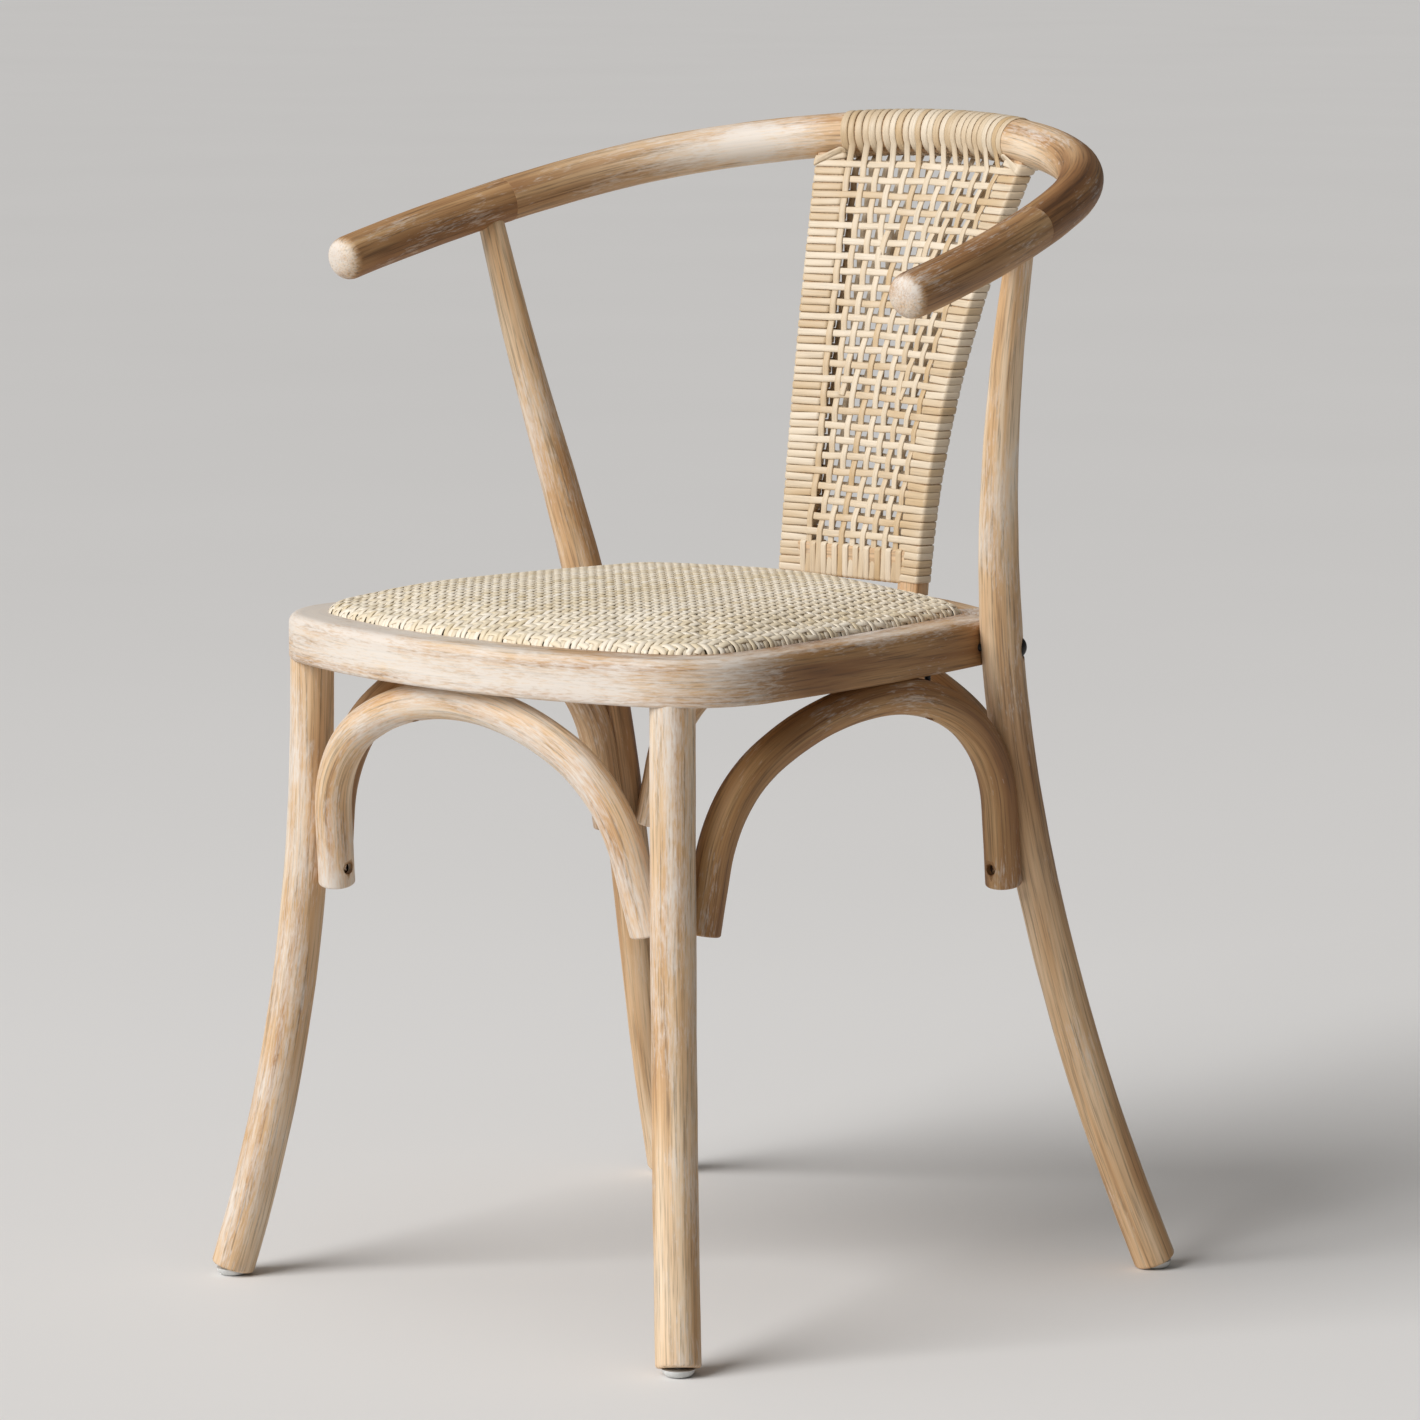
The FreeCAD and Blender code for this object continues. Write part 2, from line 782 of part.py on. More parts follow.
def build():
    os.makedirs("parts", exist_ok=True)
    block = prism(outline(seat_bottom, 0), frame_thick)
    ring = frame_ring(block)
    back, arms = rail_pieces()
    whole_rail = [back] + list(arms.values())
    arches = brace_arches()
    tubes = {name: arch.tube().common(slab(-reach, seat_bottom)) for name, arch in arches.items()}

    foot_screws = {}
    crown_screws = {}
    for name, arch in arches.items():
        foot_screws[name] = [wood_screw(*s) for s in arch.foot_screws()]
        crown_screws[name] = [wood_screw(*s) for s in arch.crown_screws()]
        for start, heading, _ in arch.foot_screws() + arch.crown_screws():
            tubes[name] = tubes[name].cut(screw_well(start, heading))
        for screw in foot_screws[name] + crown_screws[name]:
            tubes[name] = tubes[name].cut(screw)
        for screw in crown_screws[name]:
            ring = ring.cut(screw)
    all_foot_screws = [s for group in foot_screws.values() for s in group]
    all_crown_screws = [s for group in crown_screws.values() for s in group]

    bolts = []
    washers = []
    nuts = []
    for name, side in sides.items():
        bolt, washer, nut = bolt_pieces(side)
        bolts.append(bolt)
        washers.append(washer)
        nuts.append(nut)
        bore, flat, pocket = bolt_bores(side)
        ring = ring.cut(bore).cut(pocket)

        leg, tenon = front_leg(side)
        ring = ring.cut(tenon)
        foot = glide(mirrored(front_leg_axis(glide_height), side))
        for brace in tubes:
            tubes[brace] = tubes[brace].cut(leg)
        for cutter in all_foot_screws + [foot]:
            leg = leg.cut(cutter)
        save("front_leg_" + name, leg)
        save("foot_glide_front_" + name, foot)

        leg, tenon = rear_leg(side)
        leg = leg.cut(block).cut(bore).cut(flat)
        foot = glide(mirrored(rear_leg_at(glide_height), side))
        for brace in tubes:
            tubes[brace] = tubes[brace].cut(leg)
        for cutter in all_foot_screws + whole_rail + [foot]:
            leg = leg.cut(cutter)
        leg = leg.fuse(tenon)
        arms[name] = arms[name].cut(tenon)
        save("rear_leg_" + name, leg)
        save("foot_glide_rear_" + name, foot)
    for name, tube in tubes.items():
        save("brace_" + name, tube)
    save("brace_leg_screws", *all_foot_screws)
    save("brace_seat_screws", *all_crown_screws)
    save("leg_bolts", *bolts)
    save("leg_bolt_washers", *washers)
    save("leg_bolt_nuts", *nuts)

    stiles = {}
    wraps = {}
    bar = crosspiece(0, crosspiece_tenon)
    rail_wrap = round_tube(rail_path(-rail_wrap_half_turn, rail_wrap_half_turn), rail_r + wrap_thick)
    for name, side in sides.items():
        body, tenons = stile(side)
        for piece in whole_rail:
            body = body.cut(piece)
        sleeve = stile_bar(side, stile_foot_z + wrap_foot_up, rail_back_height, wrap_thick)
        wraps[name] = sleeve.cut(body).cut(back).cut(bar)
        for tenon in tenons:
            ring = ring.cut(tenon)
            back = back.cut(tenon)
            body = body.fuse(tenon)
        stiles[name] = body.cut(bar)
        save("back_stile_" + name, stiles[name])
    rail_wrap = rail_wrap.cut(round_tube(rail_path(-splice_turn, splice_turn), rail_r))
    for name in sides:
        rail_wrap = rail_wrap.cut(stiles[name]).cut(wraps[name])
    bar_wrap = crosspiece(wrap_thick, 0).cut(bar)
    panel = weave_sheet().common(net())
    for piece in [back, rail_wrap, bar, bar_wrap] + list(stiles.values()) + list(wraps.values()):
        panel = panel.cut(piece)
    for name in sides:
        bar_wrap = bar_wrap.cut(wraps[name]).cut(stiles[name])
        save("stile_wrap_" + name, wraps[name])
    save("back_crosspiece", bar)
    save("crosspiece_wrap", bar_wrap)
    save("rail_wrap", rail_wrap)
    save("back_weave", panel)

    dowels = [splice_dowel(side) for side in sides.values()]
    for name, dowel in zip(sides, dowels):
        back = back.cut(dowel)
        save("arm_rail_" + name, arms[name].cut(dowel))
    save("arm_rail_back", back)
    save("rail_splice_dowels", *dowels)

    board, foam, cover = pad_pieces()
    screws = board_screws()
    for screw in screws:
        ring = ring.cut(screw)
        board = board.cut(screw)
    dowels = frame_dowels()
    for dowel in dowels:
        ring = ring.cut(dowel)
    wedge = back_rail_wedge()
    save("seat_hoop", ring.cut(wedge))
    save("seat_back_rail", ring.common(wedge))
    save("seat_frame_dowels", *dowels)
    save("seat_board", board)
    save("seat_foam", foam)
    save("seat_cover", cover)
    save("seat_board_screws", *screws)


build()
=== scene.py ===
import bisect
import math
import random

import bmesh
import bpy
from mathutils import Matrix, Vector


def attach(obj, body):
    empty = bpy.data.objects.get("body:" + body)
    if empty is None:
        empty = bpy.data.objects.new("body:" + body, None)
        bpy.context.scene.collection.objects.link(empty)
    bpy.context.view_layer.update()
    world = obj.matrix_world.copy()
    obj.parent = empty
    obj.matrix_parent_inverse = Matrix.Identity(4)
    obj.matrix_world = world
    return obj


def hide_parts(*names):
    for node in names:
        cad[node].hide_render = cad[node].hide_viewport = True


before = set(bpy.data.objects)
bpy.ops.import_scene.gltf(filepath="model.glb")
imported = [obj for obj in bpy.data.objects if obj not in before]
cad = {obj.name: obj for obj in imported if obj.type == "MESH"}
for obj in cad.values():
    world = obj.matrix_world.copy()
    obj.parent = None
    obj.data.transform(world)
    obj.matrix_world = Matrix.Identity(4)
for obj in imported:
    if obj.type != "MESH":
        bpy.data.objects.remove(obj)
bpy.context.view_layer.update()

mm = 0.001
scene = bpy.context.scene
upwards = Vector((0, 0, 1))
sideNames = {"left": 1, "right": -1}


# small tools

def linear(hexColour):
    # sRGB hex to linear RGBA
    parts = [int(hexColour[i:i + 2], 16) / 255 for i in (1, 3, 5)]
    return tuple(c / 12.92 if c <= 0.04045 else ((c + 0.055) / 1.055) ** 2.4 for c in parts) + (1.0,)


def addNode(tree, kind, settings=None, inputs=None):
    # one node, with its settings and with each input set or linked
    node = tree.nodes.new(kind)
    for name, value in (settings or {}).items():
        if name != "stops":
            setattr(node, name, value)
            continue
        # a colour ramp's stops are hex colours or greys
        points = node.color_ramp.elements
        while len(points) < len(value):
            points.new(0.5)
        for point, (spot, colour) in zip(points, value):
            point.position = spot
            point.color = linear(colour) if isinstance(colour, str) else (colour, colour, colour, 1)
    for key, value in (inputs or {}).items():
        if isinstance(value, bpy.types.NodeSocket):
            tree.links.new(value, node.inputs[key])
        else:
            node.inputs[key].default_value = value
    return node


# settings that many nodes share
floatField = {"data_type": "FLOAT"}
vectorField = {"data_type": "FLOAT_VECTOR"}
floatPoints = {"data_type": "FLOAT", "domain": "POINT"}
vectorPoints = {"data_type": "FLOAT_VECTOR", "domain": "POINT"}
colourMix = {"data_type": "RGBA", "blend_type": "MIX", "clamp_factor": True}
colourTimes = {"data_type": "RGBA", "blend_type": "MULTIPLY", "clamp_factor": True}
plus = {"operation": "ADD"}
times = {"operation": "MULTIPLY"}
timesPlus = {"operation": "MULTIPLY_ADD"}
scaled = {"operation": "SCALE"}


def newTree(name, sockets):
    # an empty geometry tree with named inputs
    tree = bpy.data.node_groups.new(name, "GeometryNodeTree")
    tree.interface.new_socket("Geometry", in_out="OUTPUT", socket_type="NodeSocketGeometry")
    for label, kind in [("Geometry", "NodeSocketGeometry")] + sockets:
        tree.interface.new_socket(label, in_out="INPUT", socket_type=kind)
    return tree, tree.nodes.new("NodeGroupInput").outputs


def endTree(tree, geometry, material, smooth=True):
    # every tree ends in real geometry with its material
    if smooth:
        geometry = addNode(tree, "GeometryNodeSetShadeSmooth", None, {"Geometry": geometry}).outputs[0]
    real = addNode(tree, "GeometryNodeRealizeInstances", None, {"Geometry": geometry})
    paint = addNode(tree, "GeometryNodeSetMaterial", None, {
        "Geometry": real.outputs[0], "Material": material})
    addNode(tree, "NodeGroupOutput", None, {0: paint.outputs[0]})


def plainMesh(obj):
    # the modifiers' result becomes the object's own mesh
    graph = bpy.context.evaluated_depsgraph_get()
    mesh = bpy.data.meshes.new_from_object(obj.evaluated_get(graph))
    obj.modifiers.clear()
    obj.data = mesh
    mesh.name = obj.name
    return obj


def grow(obj, tree, values):
    # run a geometry tree on the object
    modifier = obj.modifiers.new(tree.name, "NODES")
    modifier.node_group = tree
    for item in tree.interface.items_tree:
        if item.in_out == "INPUT" and item.name in values:
            modifier[item.identifier] = values[item.name]
    return plainMesh(obj)


def newObject(name, verts, edges=(), faces=()):
    # a mesh object from places in millimetres
    mesh = bpy.data.meshes.new(name)
    mesh.from_pydata([Vector(v) * mm for v in verts], edges, faces)
    obj = bpy.data.objects.new(name, mesh)
    scene.collection.objects.link(obj)
    return obj


def setValues(mesh, name, kind, values):
    # a value of its own for each point
    layer = mesh.attributes.new(name, kind, "POINT")
    field = "vector" if kind == "FLOAT_VECTOR" else "value"
    for item, value in zip(layer.data, values):
        setattr(item, field, value)


def place(obj, slotName, *replaced):
    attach(obj, "root")
    if replaced:
        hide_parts(*replaced)
    return obj


def mirrored(point, side):
    return Vector((point[0] * side, point[1], point[2]))


def spaced(start, end, count):
    return [start + (end - start) * i / count for i in range(count + 1)]


def ramp(value, start, end):
    # 0 up to start, 1 from end on; end may be the lower one
    return min(max((value - start) / (end - start), 0), 1)


def eased(share):
    return share * share * (3 - 2 * share)


def patchy(stop, base, patches):
    # an amount along a bar: a base and soft patches of (middle, width, amount)
    return base + sum(amount * math.exp(-((stop - middle) / width) ** 2) for middle, width, amount in patches)


def tubeFaces(size, count):
    # the faces of a closed tube through rings of points, one ring after the other
    faces = [(i * size + j, i * size + (j + 1) % size, (i + 1) * size + (j + 1) % size, (i + 1) * size + j)
             for i in range(count - 1) for j in range(size)]
    return faces + [tuple(range(size - 1, -1, -1)), tuple(range((count - 1) * size, count * size))]


def naturalSpline(stops, values):
    # the smooth line through a few values, as a function
    count = len(stops)
    gaps = [stops[i + 1] - stops[i] for i in range(count - 1)]
    lower, middle, upper, right = [0.0] * count, [1.0] * count, [0.0] * count, [0.0] * count
    for i in range(1, count - 1):
        lower[i], middle[i], upper[i] = gaps[i - 1], 2 * (gaps[i - 1] + gaps[i]), gaps[i]
        rise = (values[i + 1] - values[i]) / gaps[i] - (values[i] - values[i - 1]) / gaps[i - 1]
        right[i] = 6 * rise
    for i in range(1, count):
        share = lower[i] / middle[i - 1]
        middle[i] -= share * upper[i - 1]
        right[i] -= share * right[i - 1]
    bend = [0.0] * count
    for i in range(count - 2, 0, -1):
        bend[i] = (right[i] - upper[i] * bend[i + 1]) / middle[i]

    def at(stop):
        i = 0
        while i < count - 2 and stop > stops[i + 1]:
            i += 1
        after, before, gap = stop - stops[i], stops[i + 1] - stop, gaps[i]
        curved = (bend[i] * before ** 3 + bend[i + 1] * after ** 3) / (6 * gap)
        left = (values[i] / gap - bend[i] * gap / 6) * before
        return curved + left + (values[i + 1] / gap - bend[i + 1] * gap / 6) * after
    return at


# camera and lights

cameraSetup = {
    "eye": (2.9806, -3.1400, 0.9861), "heading": 43.545, "tilt": 8.032,     # metres, degrees
    "focalPixels": 6362.3, "middle": (700.0, 728.7), "frame": 1420,         # pixels
    "sensor": 36.0, "reach": 60.0,                                          # millimetres, metres
}

cameraData = bpy.data.cameras.new("camera")
camera = bpy.data.objects.new("camera", cameraData)
scene.collection.objects.link(camera)
cameraData.sensor_width = cameraSetup["sensor"]
cameraData.lens = cameraSetup["sensor"] * cameraSetup["focalPixels"] / cameraSetup["frame"]
cameraData.shift_x = 0.5 - cameraSetup["middle"][0] / cameraSetup["frame"]
cameraData.shift_y = cameraSetup["middle"][1] / cameraSetup["frame"] - 0.5
cameraData.clip_end = cameraSetup["reach"]
camera.location = cameraSetup["eye"]
camera.rotation_euler = (math.radians(90 - cameraSetup["tilt"]), 0, math.radians(cameraSetup["heading"]))
scene.camera = camera

lampSetup = {
    # the window is before the chair, left of the camera; angles in degrees
    "windowHeading": 258.0, "windowHeight": 35.0, "windowStrength": 3.2, "windowSpread": 40.0,
    # the fill hangs above it; metres
    "fillPlace": (-0.4, -0.8, 3.2), "fillAim": (0, 0, 0.45), "fillSize": 2.6, "fillWatts": 16.0,
    "roomColour": "#EFEDEA", "roomStrength": 0.14,
}


def addLamp(name, kind, spot, aim, settings):
    data = bpy.data.lights.new(name, kind)
    for key, value in settings.items():
        setattr(data, key, value)
    lamp = bpy.data.objects.new(name, data)
    lamp.location = spot
    lamp.rotation_euler = aim.to_track_quat("-Z", "Y").to_euler()
    scene.collection.objects.link(lamp)


sunTurn = math.radians(lampSetup["windowHeading"])
sunRise = math.radians(lampSetup["windowHeight"])
sunFlat = math.cos(sunRise)
towards = Vector((math.cos(sunTurn) * sunFlat, math.sin(sunTurn) * sunFlat, math.sin(sunRise)))
addLamp("window", "SUN", (0, 0, 0), -towards, {
    "energy": lampSetup["windowStrength"], "angle": math.radians(lampSetup["windowSpread"])})
fillAim = Vector(lampSetup["fillAim"]) - Vector(lampSetup["fillPlace"])
addLamp("fill", "AREA", lampSetup["fillPlace"], fillAim, {
    "shape": "SQUARE", "size": lampSetup["fillSize"], "energy": lampSetup["fillWatts"]})

world = bpy.data.worlds.new("softRoom")
scene.world = world
world.use_nodes = True
room = world.node_tree.nodes["Background"].inputs
room["Color"].default_value = linear(lampSetup["roomColour"])
room["Strength"].default_value = lampSetup["roomStrength"]
scene.view_settings.view_transform = "Standard"
print("camera and lights set")


# materials

def newMaterial(name):
    material = bpy.data.materials.new(name)
    material.use_nodes = True
    material.node_tree.nodes.clear()
    return material, material.node_tree


def endMaterial(tree, sockets):
    shader = addNode(tree, "ShaderNodeBsdfPrincipled", None, sockets)
    addNode(tree, "ShaderNodeOutputMaterial", None, {"Surface": shader.outputs[0]})


oakFinish = {
    "grains": {
        # sizes across and along the grain in millimetres, detail, roughness and distortion
        "bands": (11.0, 300.0, 3, 0.5, 0.7),        # growth bands
        "clouds": (42.0, 150.0, 2, 0.5, 0.0),       # slow change of colour
        "fibres": (1.5, 60.0, 3, 0.65, 0.0),        # brushed fibres, drawn coarse so that they show
        "flecks": (1.3, 9.0, 3, 0.62, 0.4),         # limewash in the open pores, coarse for the same reason
        "patch": (22.0, 60.0, 3, 0.55, 0.0),        # where the limewash stayed
    },
    "dark": [(0.32, "#5A3616"), (0.45, "#87582B"), (0.57, "#AA7C46"), (0.70, "#CBA26C")],
    "pale": [(0.32, "#BC8C5C"), (0.45, "#D8B286"), (0.57, "#E9CFAE"), (0.70, "#F2E2CC")],
    "cloudShare": 0.4,
    "fibreShade": [(0.34, 0.42), (0.48, 0.88), (0.6, 1.0)], "fibreShare": 0.85,
    "lime": "#DFD7CE", "patchWeight": 1.2, "fleckWeight": 1.1,
    "limeFrom": 1.42, "limeTo": 1.9, "limeMost": 0.85,
    "rough": (0.5, 0.72), "ior": 1.5,
    "limeHeight": 0.5, "bump": 0.3, "bumpDepth": 0.4,       # the depth in millimetres
}


def limedOak():
    # oak, brushed and rubbed with limewash: soft honey bands with fine fibres,
    # white left in pores and patches
    finish = oakFinish
    material, tree = newMaterial("limedOak")
    given = {name: addNode(tree, "ShaderNodeAttribute", {"attribute_name": name})
             for name in ("stock", "lime", "tone")}
    grain = {}
    for name, (across, along, detail, coarse, bent) in finish["grains"].items():
        pull = addNode(tree, "ShaderNodeVectorMath", times, {
            0: given["stock"].outputs["Vector"], 1: (1 / (across * mm), 1 / (across * mm), 1 / (along * mm))})
        noise = addNode(tree, "ShaderNodeTexNoise", None, {
            "Vector": pull.outputs[0], "Scale": 1.0, "Detail": detail, "Roughness": coarse,
            "Distortion": bent})
        grain[name] = noise.outputs["Fac"]
    figure = addNode(tree, "ShaderNodeMix", floatField, {
        0: finish["cloudShare"], 2: grain["bands"], 3: grain["clouds"]})
    dark, pale = [addNode(tree, "ShaderNodeValToRGB", {"stops": finish[name]}, {"Fac": figure.outputs[0]})
                  for name in ("dark", "pale")]
    wood = addNode(tree, "ShaderNodeMix", colourMix, {
        0: given["tone"].outputs["Fac"], 6: dark.outputs[0], 7: pale.outputs[0]})
    shade = addNode(tree, "ShaderNodeValToRGB", {"stops": finish["fibreShade"]}, {"Fac": grain["fibres"]})
    brushed = addNode(tree, "ShaderNodeMix", colourTimes, {
        0: finish["fibreShare"], 6: wood.outputs[2], 7: shade.outputs[0]})
    # limewash: patches and the piece's own amount, broken up by the flecks
    stayed = addNode(tree, "ShaderNodeMath", timesPlus, {
        0: grain["patch"], 1: finish["patchWeight"], 2: given["lime"].outputs["Fac"]})
    level = addNode(tree, "ShaderNodeMath", timesPlus, {
        0: grain["flecks"], 1: finish["fleckWeight"], 2: stayed.outputs[0]})
    cover = addNode(tree, "ShaderNodeMapRange", None, {
        "Value": level.outputs[0], "From Min": finish["limeFrom"], "From Max": finish["limeTo"],
        "To Max": finish["limeMost"]})
    limed = addNode(tree, "ShaderNodeMix", colourMix, {
        0: cover.outputs[0], 6: brushed.outputs[2], 7: linear(finish["lime"])})
    rough = addNode(tree, "ShaderNodeMapRange", None, {
        "Value": grain["fibres"], "To Min": finish["rough"][0], "To Max": finish["rough"][1]})
    relief = addNode(tree, "ShaderNodeMath", timesPlus, {
        0: cover.outputs[0], 1: finish["limeHeight"], 2: grain["fibres"]})
    bump = addNode(tree, "ShaderNodeBump", None, {
        "Height": relief.outputs[0], "Strength": finish["bump"], "Distance": finish["bumpDepth"] * mm})
    endMaterial(tree, {"Base Color": limed.outputs[2], "Roughness": rough.outputs[0],
                       "IOR": finish["ior"], "Normal": bump.outputs[0]})
    return material


rattanSkin = {
    "stain": (30.0, 45.0, 2), "stainWeight": 0.7,           # millimetres across and along, and detail
    "streak": [(0.30, 0.80), (0.52, 1.0)], "streakShare": 0.7,
    "rough": 0.5, "ior": 1.48, "bump": 0.25, "bumpDepth": 0.2,
}
backStrip = dict(rattanSkin, fibre=(1.0, 26.0, 3), toneSpread=0.55,
                 colours=[(0.1, "#E2D5C2"), (0.55, "#D6C5AC"), (1.0, "#C2A57C")])
seatStrip = dict(rattanSkin, fibre=(0.9, 26.0, 3), toneSpread=0.45,
                 colours=[(0.1, "#F6EEE1"), (0.55, "#EDE1CC"), (1.0, "#D8C49C")])


def splitRattan(name, finish):
    # rattan split to strips: cream skin with a low sheen, honey streaks along it,
    # a tone of its own for each strip
    material, tree = newMaterial(name)
    strip = addNode(tree, "ShaderNodeAttribute", {"attribute_name": "strip"}).outputs["Vector"]
    tone = addNode(tree, "ShaderNodeAttribute", {"attribute_name": "tone"}).outputs["Fac"]
    noises = []
    for across, along, detail in (finish["fibre"], finish["stain"]):
        pull = addNode(tree, "ShaderNodeVectorMath", times, {
            0: strip, 1: (1 / (across * mm), 1 / (across * mm), 1 / (along * mm))})
        noise = addNode(tree, "ShaderNodeTexNoise", None, {
            "Vector": pull.outputs[0], "Scale": 1.0, "Detail": detail})
        noises.append(noise.outputs["Fac"])
    fibre, stain = noises
    own = addNode(tree, "ShaderNodeMath", times, {0: tone, 1: finish["toneSpread"]})
    spread = addNode(tree, "ShaderNodeMath", timesPlus, {
        0: stain, 1: finish["stainWeight"], 2: own.outputs[0]})
    base = addNode(tree, "ShaderNodeValToRGB", {"stops": finish["colours"]}, {"Fac": spread.outputs[0]})
    streak = addNode(tree, "ShaderNodeValToRGB", {"stops": finish["streak"]}, {"Fac": fibre})
    colour = addNode(tree, "ShaderNodeMix", colourTimes, {
        0: finish["streakShare"], 6: base.outputs[0], 7: streak.outputs[0]})
    bump = addNode(tree, "ShaderNodeBump", None, {
        "Height": fibre, "Strength": finish["bump"], "Distance": finish["bumpDepth"] * mm})
    endMaterial(tree, {"Base Color": colour.outputs[2], "Roughness": finish["rough"],
                       "IOR": finish["ior"], "Normal": bump.outputs[0]})
    return material


plainSurface = {"detail": 3, "darkAt": 0.3, "lightAt": 0.7, "roughSpan": 0.06, "bump": 0.15, "bumpDepth": 0.2}


def plainFinish(name, dark, light, size, rough, metallic=0.0, coat=0.0, drawnOut=1.0):
    # a finish that changes a little over the surface, in clouds of that size in millimetres;
    # drawnOut makes a grain along X
    surface = plainSurface
    material, tree = newMaterial(name)
    spot = addNode(tree, "ShaderNodeTexCoord").outputs["Object"]
    pull = addNode(tree, "ShaderNodeVectorMath", times, {0: spot, 1: (1 / drawnOut, 1, 1)})
    noise = addNode(tree, "ShaderNodeTexNoise", None, {
        "Vector": pull.outputs[0], "Scale": 1 / (size * mm), "Detail": surface["detail"]}).outputs["Fac"]
    stops = [(surface["darkAt"], dark), (surface["lightAt"], light)]
    colour = addNode(tree, "ShaderNodeValToRGB", {"stops": stops}, {"Fac": noise})
    span = addNode(tree, "ShaderNodeMapRange", None, {
        "Value": noise, "To Min": rough - surface["roughSpan"], "To Max": rough + surface["roughSpan"]})
    bump = addNode(tree, "ShaderNodeBump", None, {
        "Height": noise, "Strength": surface["bump"], "Distance": surface["bumpDepth"] * mm})
    endMaterial(tree, {"Base Color": colour.outputs[0], "Roughness": span.outputs[0], "Metallic": metallic,
                       "Coat Weight": coat, "Normal": bump.outputs[0]})
    return material


oak = limedOak()
backRattan = splitRattan("splitRattanBack", backStrip)
seatRattan = splitRattan("splitRattanSeat", seatStrip)
# woven underlay, dull
scrim = plainFinish("strawScrim", "#9C8254", "#B89E6E", 1.5, 0.9)
# sanded and raw, a matt long grain
plywood = plainFinish("birchPlywood", "#B4946A", "#CDB189", 5.0, 0.7, drawnOut=14.0)
# turned and dry
beech = plainFinish("turnedBeech", "#B68A5C", "#C99F72", 5.0, 0.6)
# oiled, a soft dark gloss
blackSteel = plainFinish("blackenedSteel", "#141210", "#2A2622", 1.2, 0.45, metallic=0.6)
# plated, bright grey and slightly cloudy
zincSteel = plainFinish("zincPlatedSteel", "#8F9296", "#B4B7BA", 2.0, 0.35, metallic=1.0)
# moulded, waxy
nylon = plainFinish("milkyNylon", "#BFC0BE", "#D9DAD8", 6.0, 0.35, coat=0.2)
print("materials made")


# bent round stock

def bentStockTree():
    tree, given = newTree("bentStock", [
        ("Sides", "NodeSocketInt"), ("Wobble", "NodeSocketFloat"), ("Wave", "NodeSocketFloat"),
        ("Offset", "NodeSocketVector"), ("Tone", "NodeSocketFloat"), ("Lime Side", "NodeSocketVector"),
        ("Lime From", "NodeSocketFloat"), ("Lime Round", "NodeSocketFloat"),
        ("Material", "NodeSocketMaterial")])
    at = {name: addNode(tree, "GeometryNodeInputNamedAttribute", floatField, {"Name": name}).outputs[0]
          for name in ("girth", "along", "around", "pale", "lime")}
    line = addNode(tree, "GeometryNodeMeshToCurve", None, {"Mesh": given["Geometry"]})
    spline = addNode(tree, "GeometryNodeSplineParameter")
    along = addNode(tree, "GeometryNodeStoreNamedAttribute", floatPoints, {
        "Geometry": line.outputs[0], "Name": "along", "Value": spline.outputs["Length"]})
    circle = addNode(tree, "GeometryNodeCurvePrimitiveCircle", None, {
        "Resolution": given["Sides"], "Radius": 1.0})
    around = addNode(tree, "GeometryNodeStoreNamedAttribute", floatPoints, {
        "Geometry": circle.outputs[0], "Name": "around", "Value": spline.outputs["Factor"]})
    tube = addNode(tree, "GeometryNodeCurveToMesh", None, {
        "Curve": along.outputs[0], "Profile Curve": around.outputs[0], "Scale": at["girth"],
        "Fill Caps": True})
    # stock coordinates: across the bar as if it were straight, and along it
    turn = addNode(tree, "ShaderNodeMath", times, {0: at["around"], 1: 2 * math.pi})
    across = []
    for kind in ("COSINE", "SINE"):
        wave = addNode(tree, "ShaderNodeMath", {"operation": kind}, {0: turn.outputs[0]})
        part = addNode(tree, "ShaderNodeMath", times, {0: wave.outputs[0], 1: at["girth"]})
        across.append(part.outputs[0])
    straight = addNode(tree, "ShaderNodeCombineXYZ", None, {0: across[0], 1: across[1], 2: at["along"]})
    stock = addNode(tree, "ShaderNodeVectorMath", plus, {0: straight.outputs[0], 1: given["Offset"]})
    stored = addNode(tree, "GeometryNodeStoreNamedAttribute", vectorPoints, {
        "Geometry": tube.outputs[0], "Name": "stock", "Value": stock.outputs[0]})
    tone = addNode(tree, "ShaderNodeMath", plus, {0: given["Tone"], 1: at["pale"]})
    toned = addNode(tree, "GeometryNodeStoreNamedAttribute", floatPoints, {
        "Geometry": stored.outputs[0], "Name": "tone", "Value": tone.outputs[0]})
    # the limewash is thickest on the side that faces its direction
    normal = addNode(tree, "GeometryNodeInputNormal").outputs[0]
    facing = addNode(tree, "ShaderNodeVectorMath", {"operation": "DOT_PRODUCT"}, {
        0: normal, 1: given["Lime Side"]})
    share = addNode(tree, "ShaderNodeMapRange", None, {
        "Value": facing.outputs["Value"], "From Min": given["Lime From"], "To Min": given["Lime Round"]})
    lime = addNode(tree, "ShaderNodeMath", times, {0: at["lime"], 1: share.outputs[0]})
    limed = addNode(tree, "GeometryNodeStoreNamedAttribute", floatPoints, {
        "Geometry": toned.outputs[0], "Name": "lime", "Value": lime.outputs[0]})
    # hand-shaped surface: a slow swell along the stock
    stockAt = addNode(tree, "GeometryNodeInputNamedAttribute", vectorField, {"Name": "stock"})
    noise = addNode(tree, "ShaderNodeTexNoise", None, {
        "Vector": stockAt.outputs[0], "Scale": given["Wave"], "Detail": 1.0})
    centred = addNode(tree, "ShaderNodeMath", {"operation": "SUBTRACT"}, {0: noise.outputs["Fac"], 1: 0.5})
    size = addNode(tree, "ShaderNodeMath", times, {0: centred.outputs[0], 1: given["Wobble"]})
    push = addNode(tree, "ShaderNodeVectorMath", scaled, {0: normal, "Scale": size.outputs[0]})
    moved = addNode(tree, "GeometryNodeSetPosition", None, {
        "Geometry": limed.outputs[0], "Offset": push.outputs[0]})
    endTree(tree, moved.outputs[0], given["Material"])
    return tree


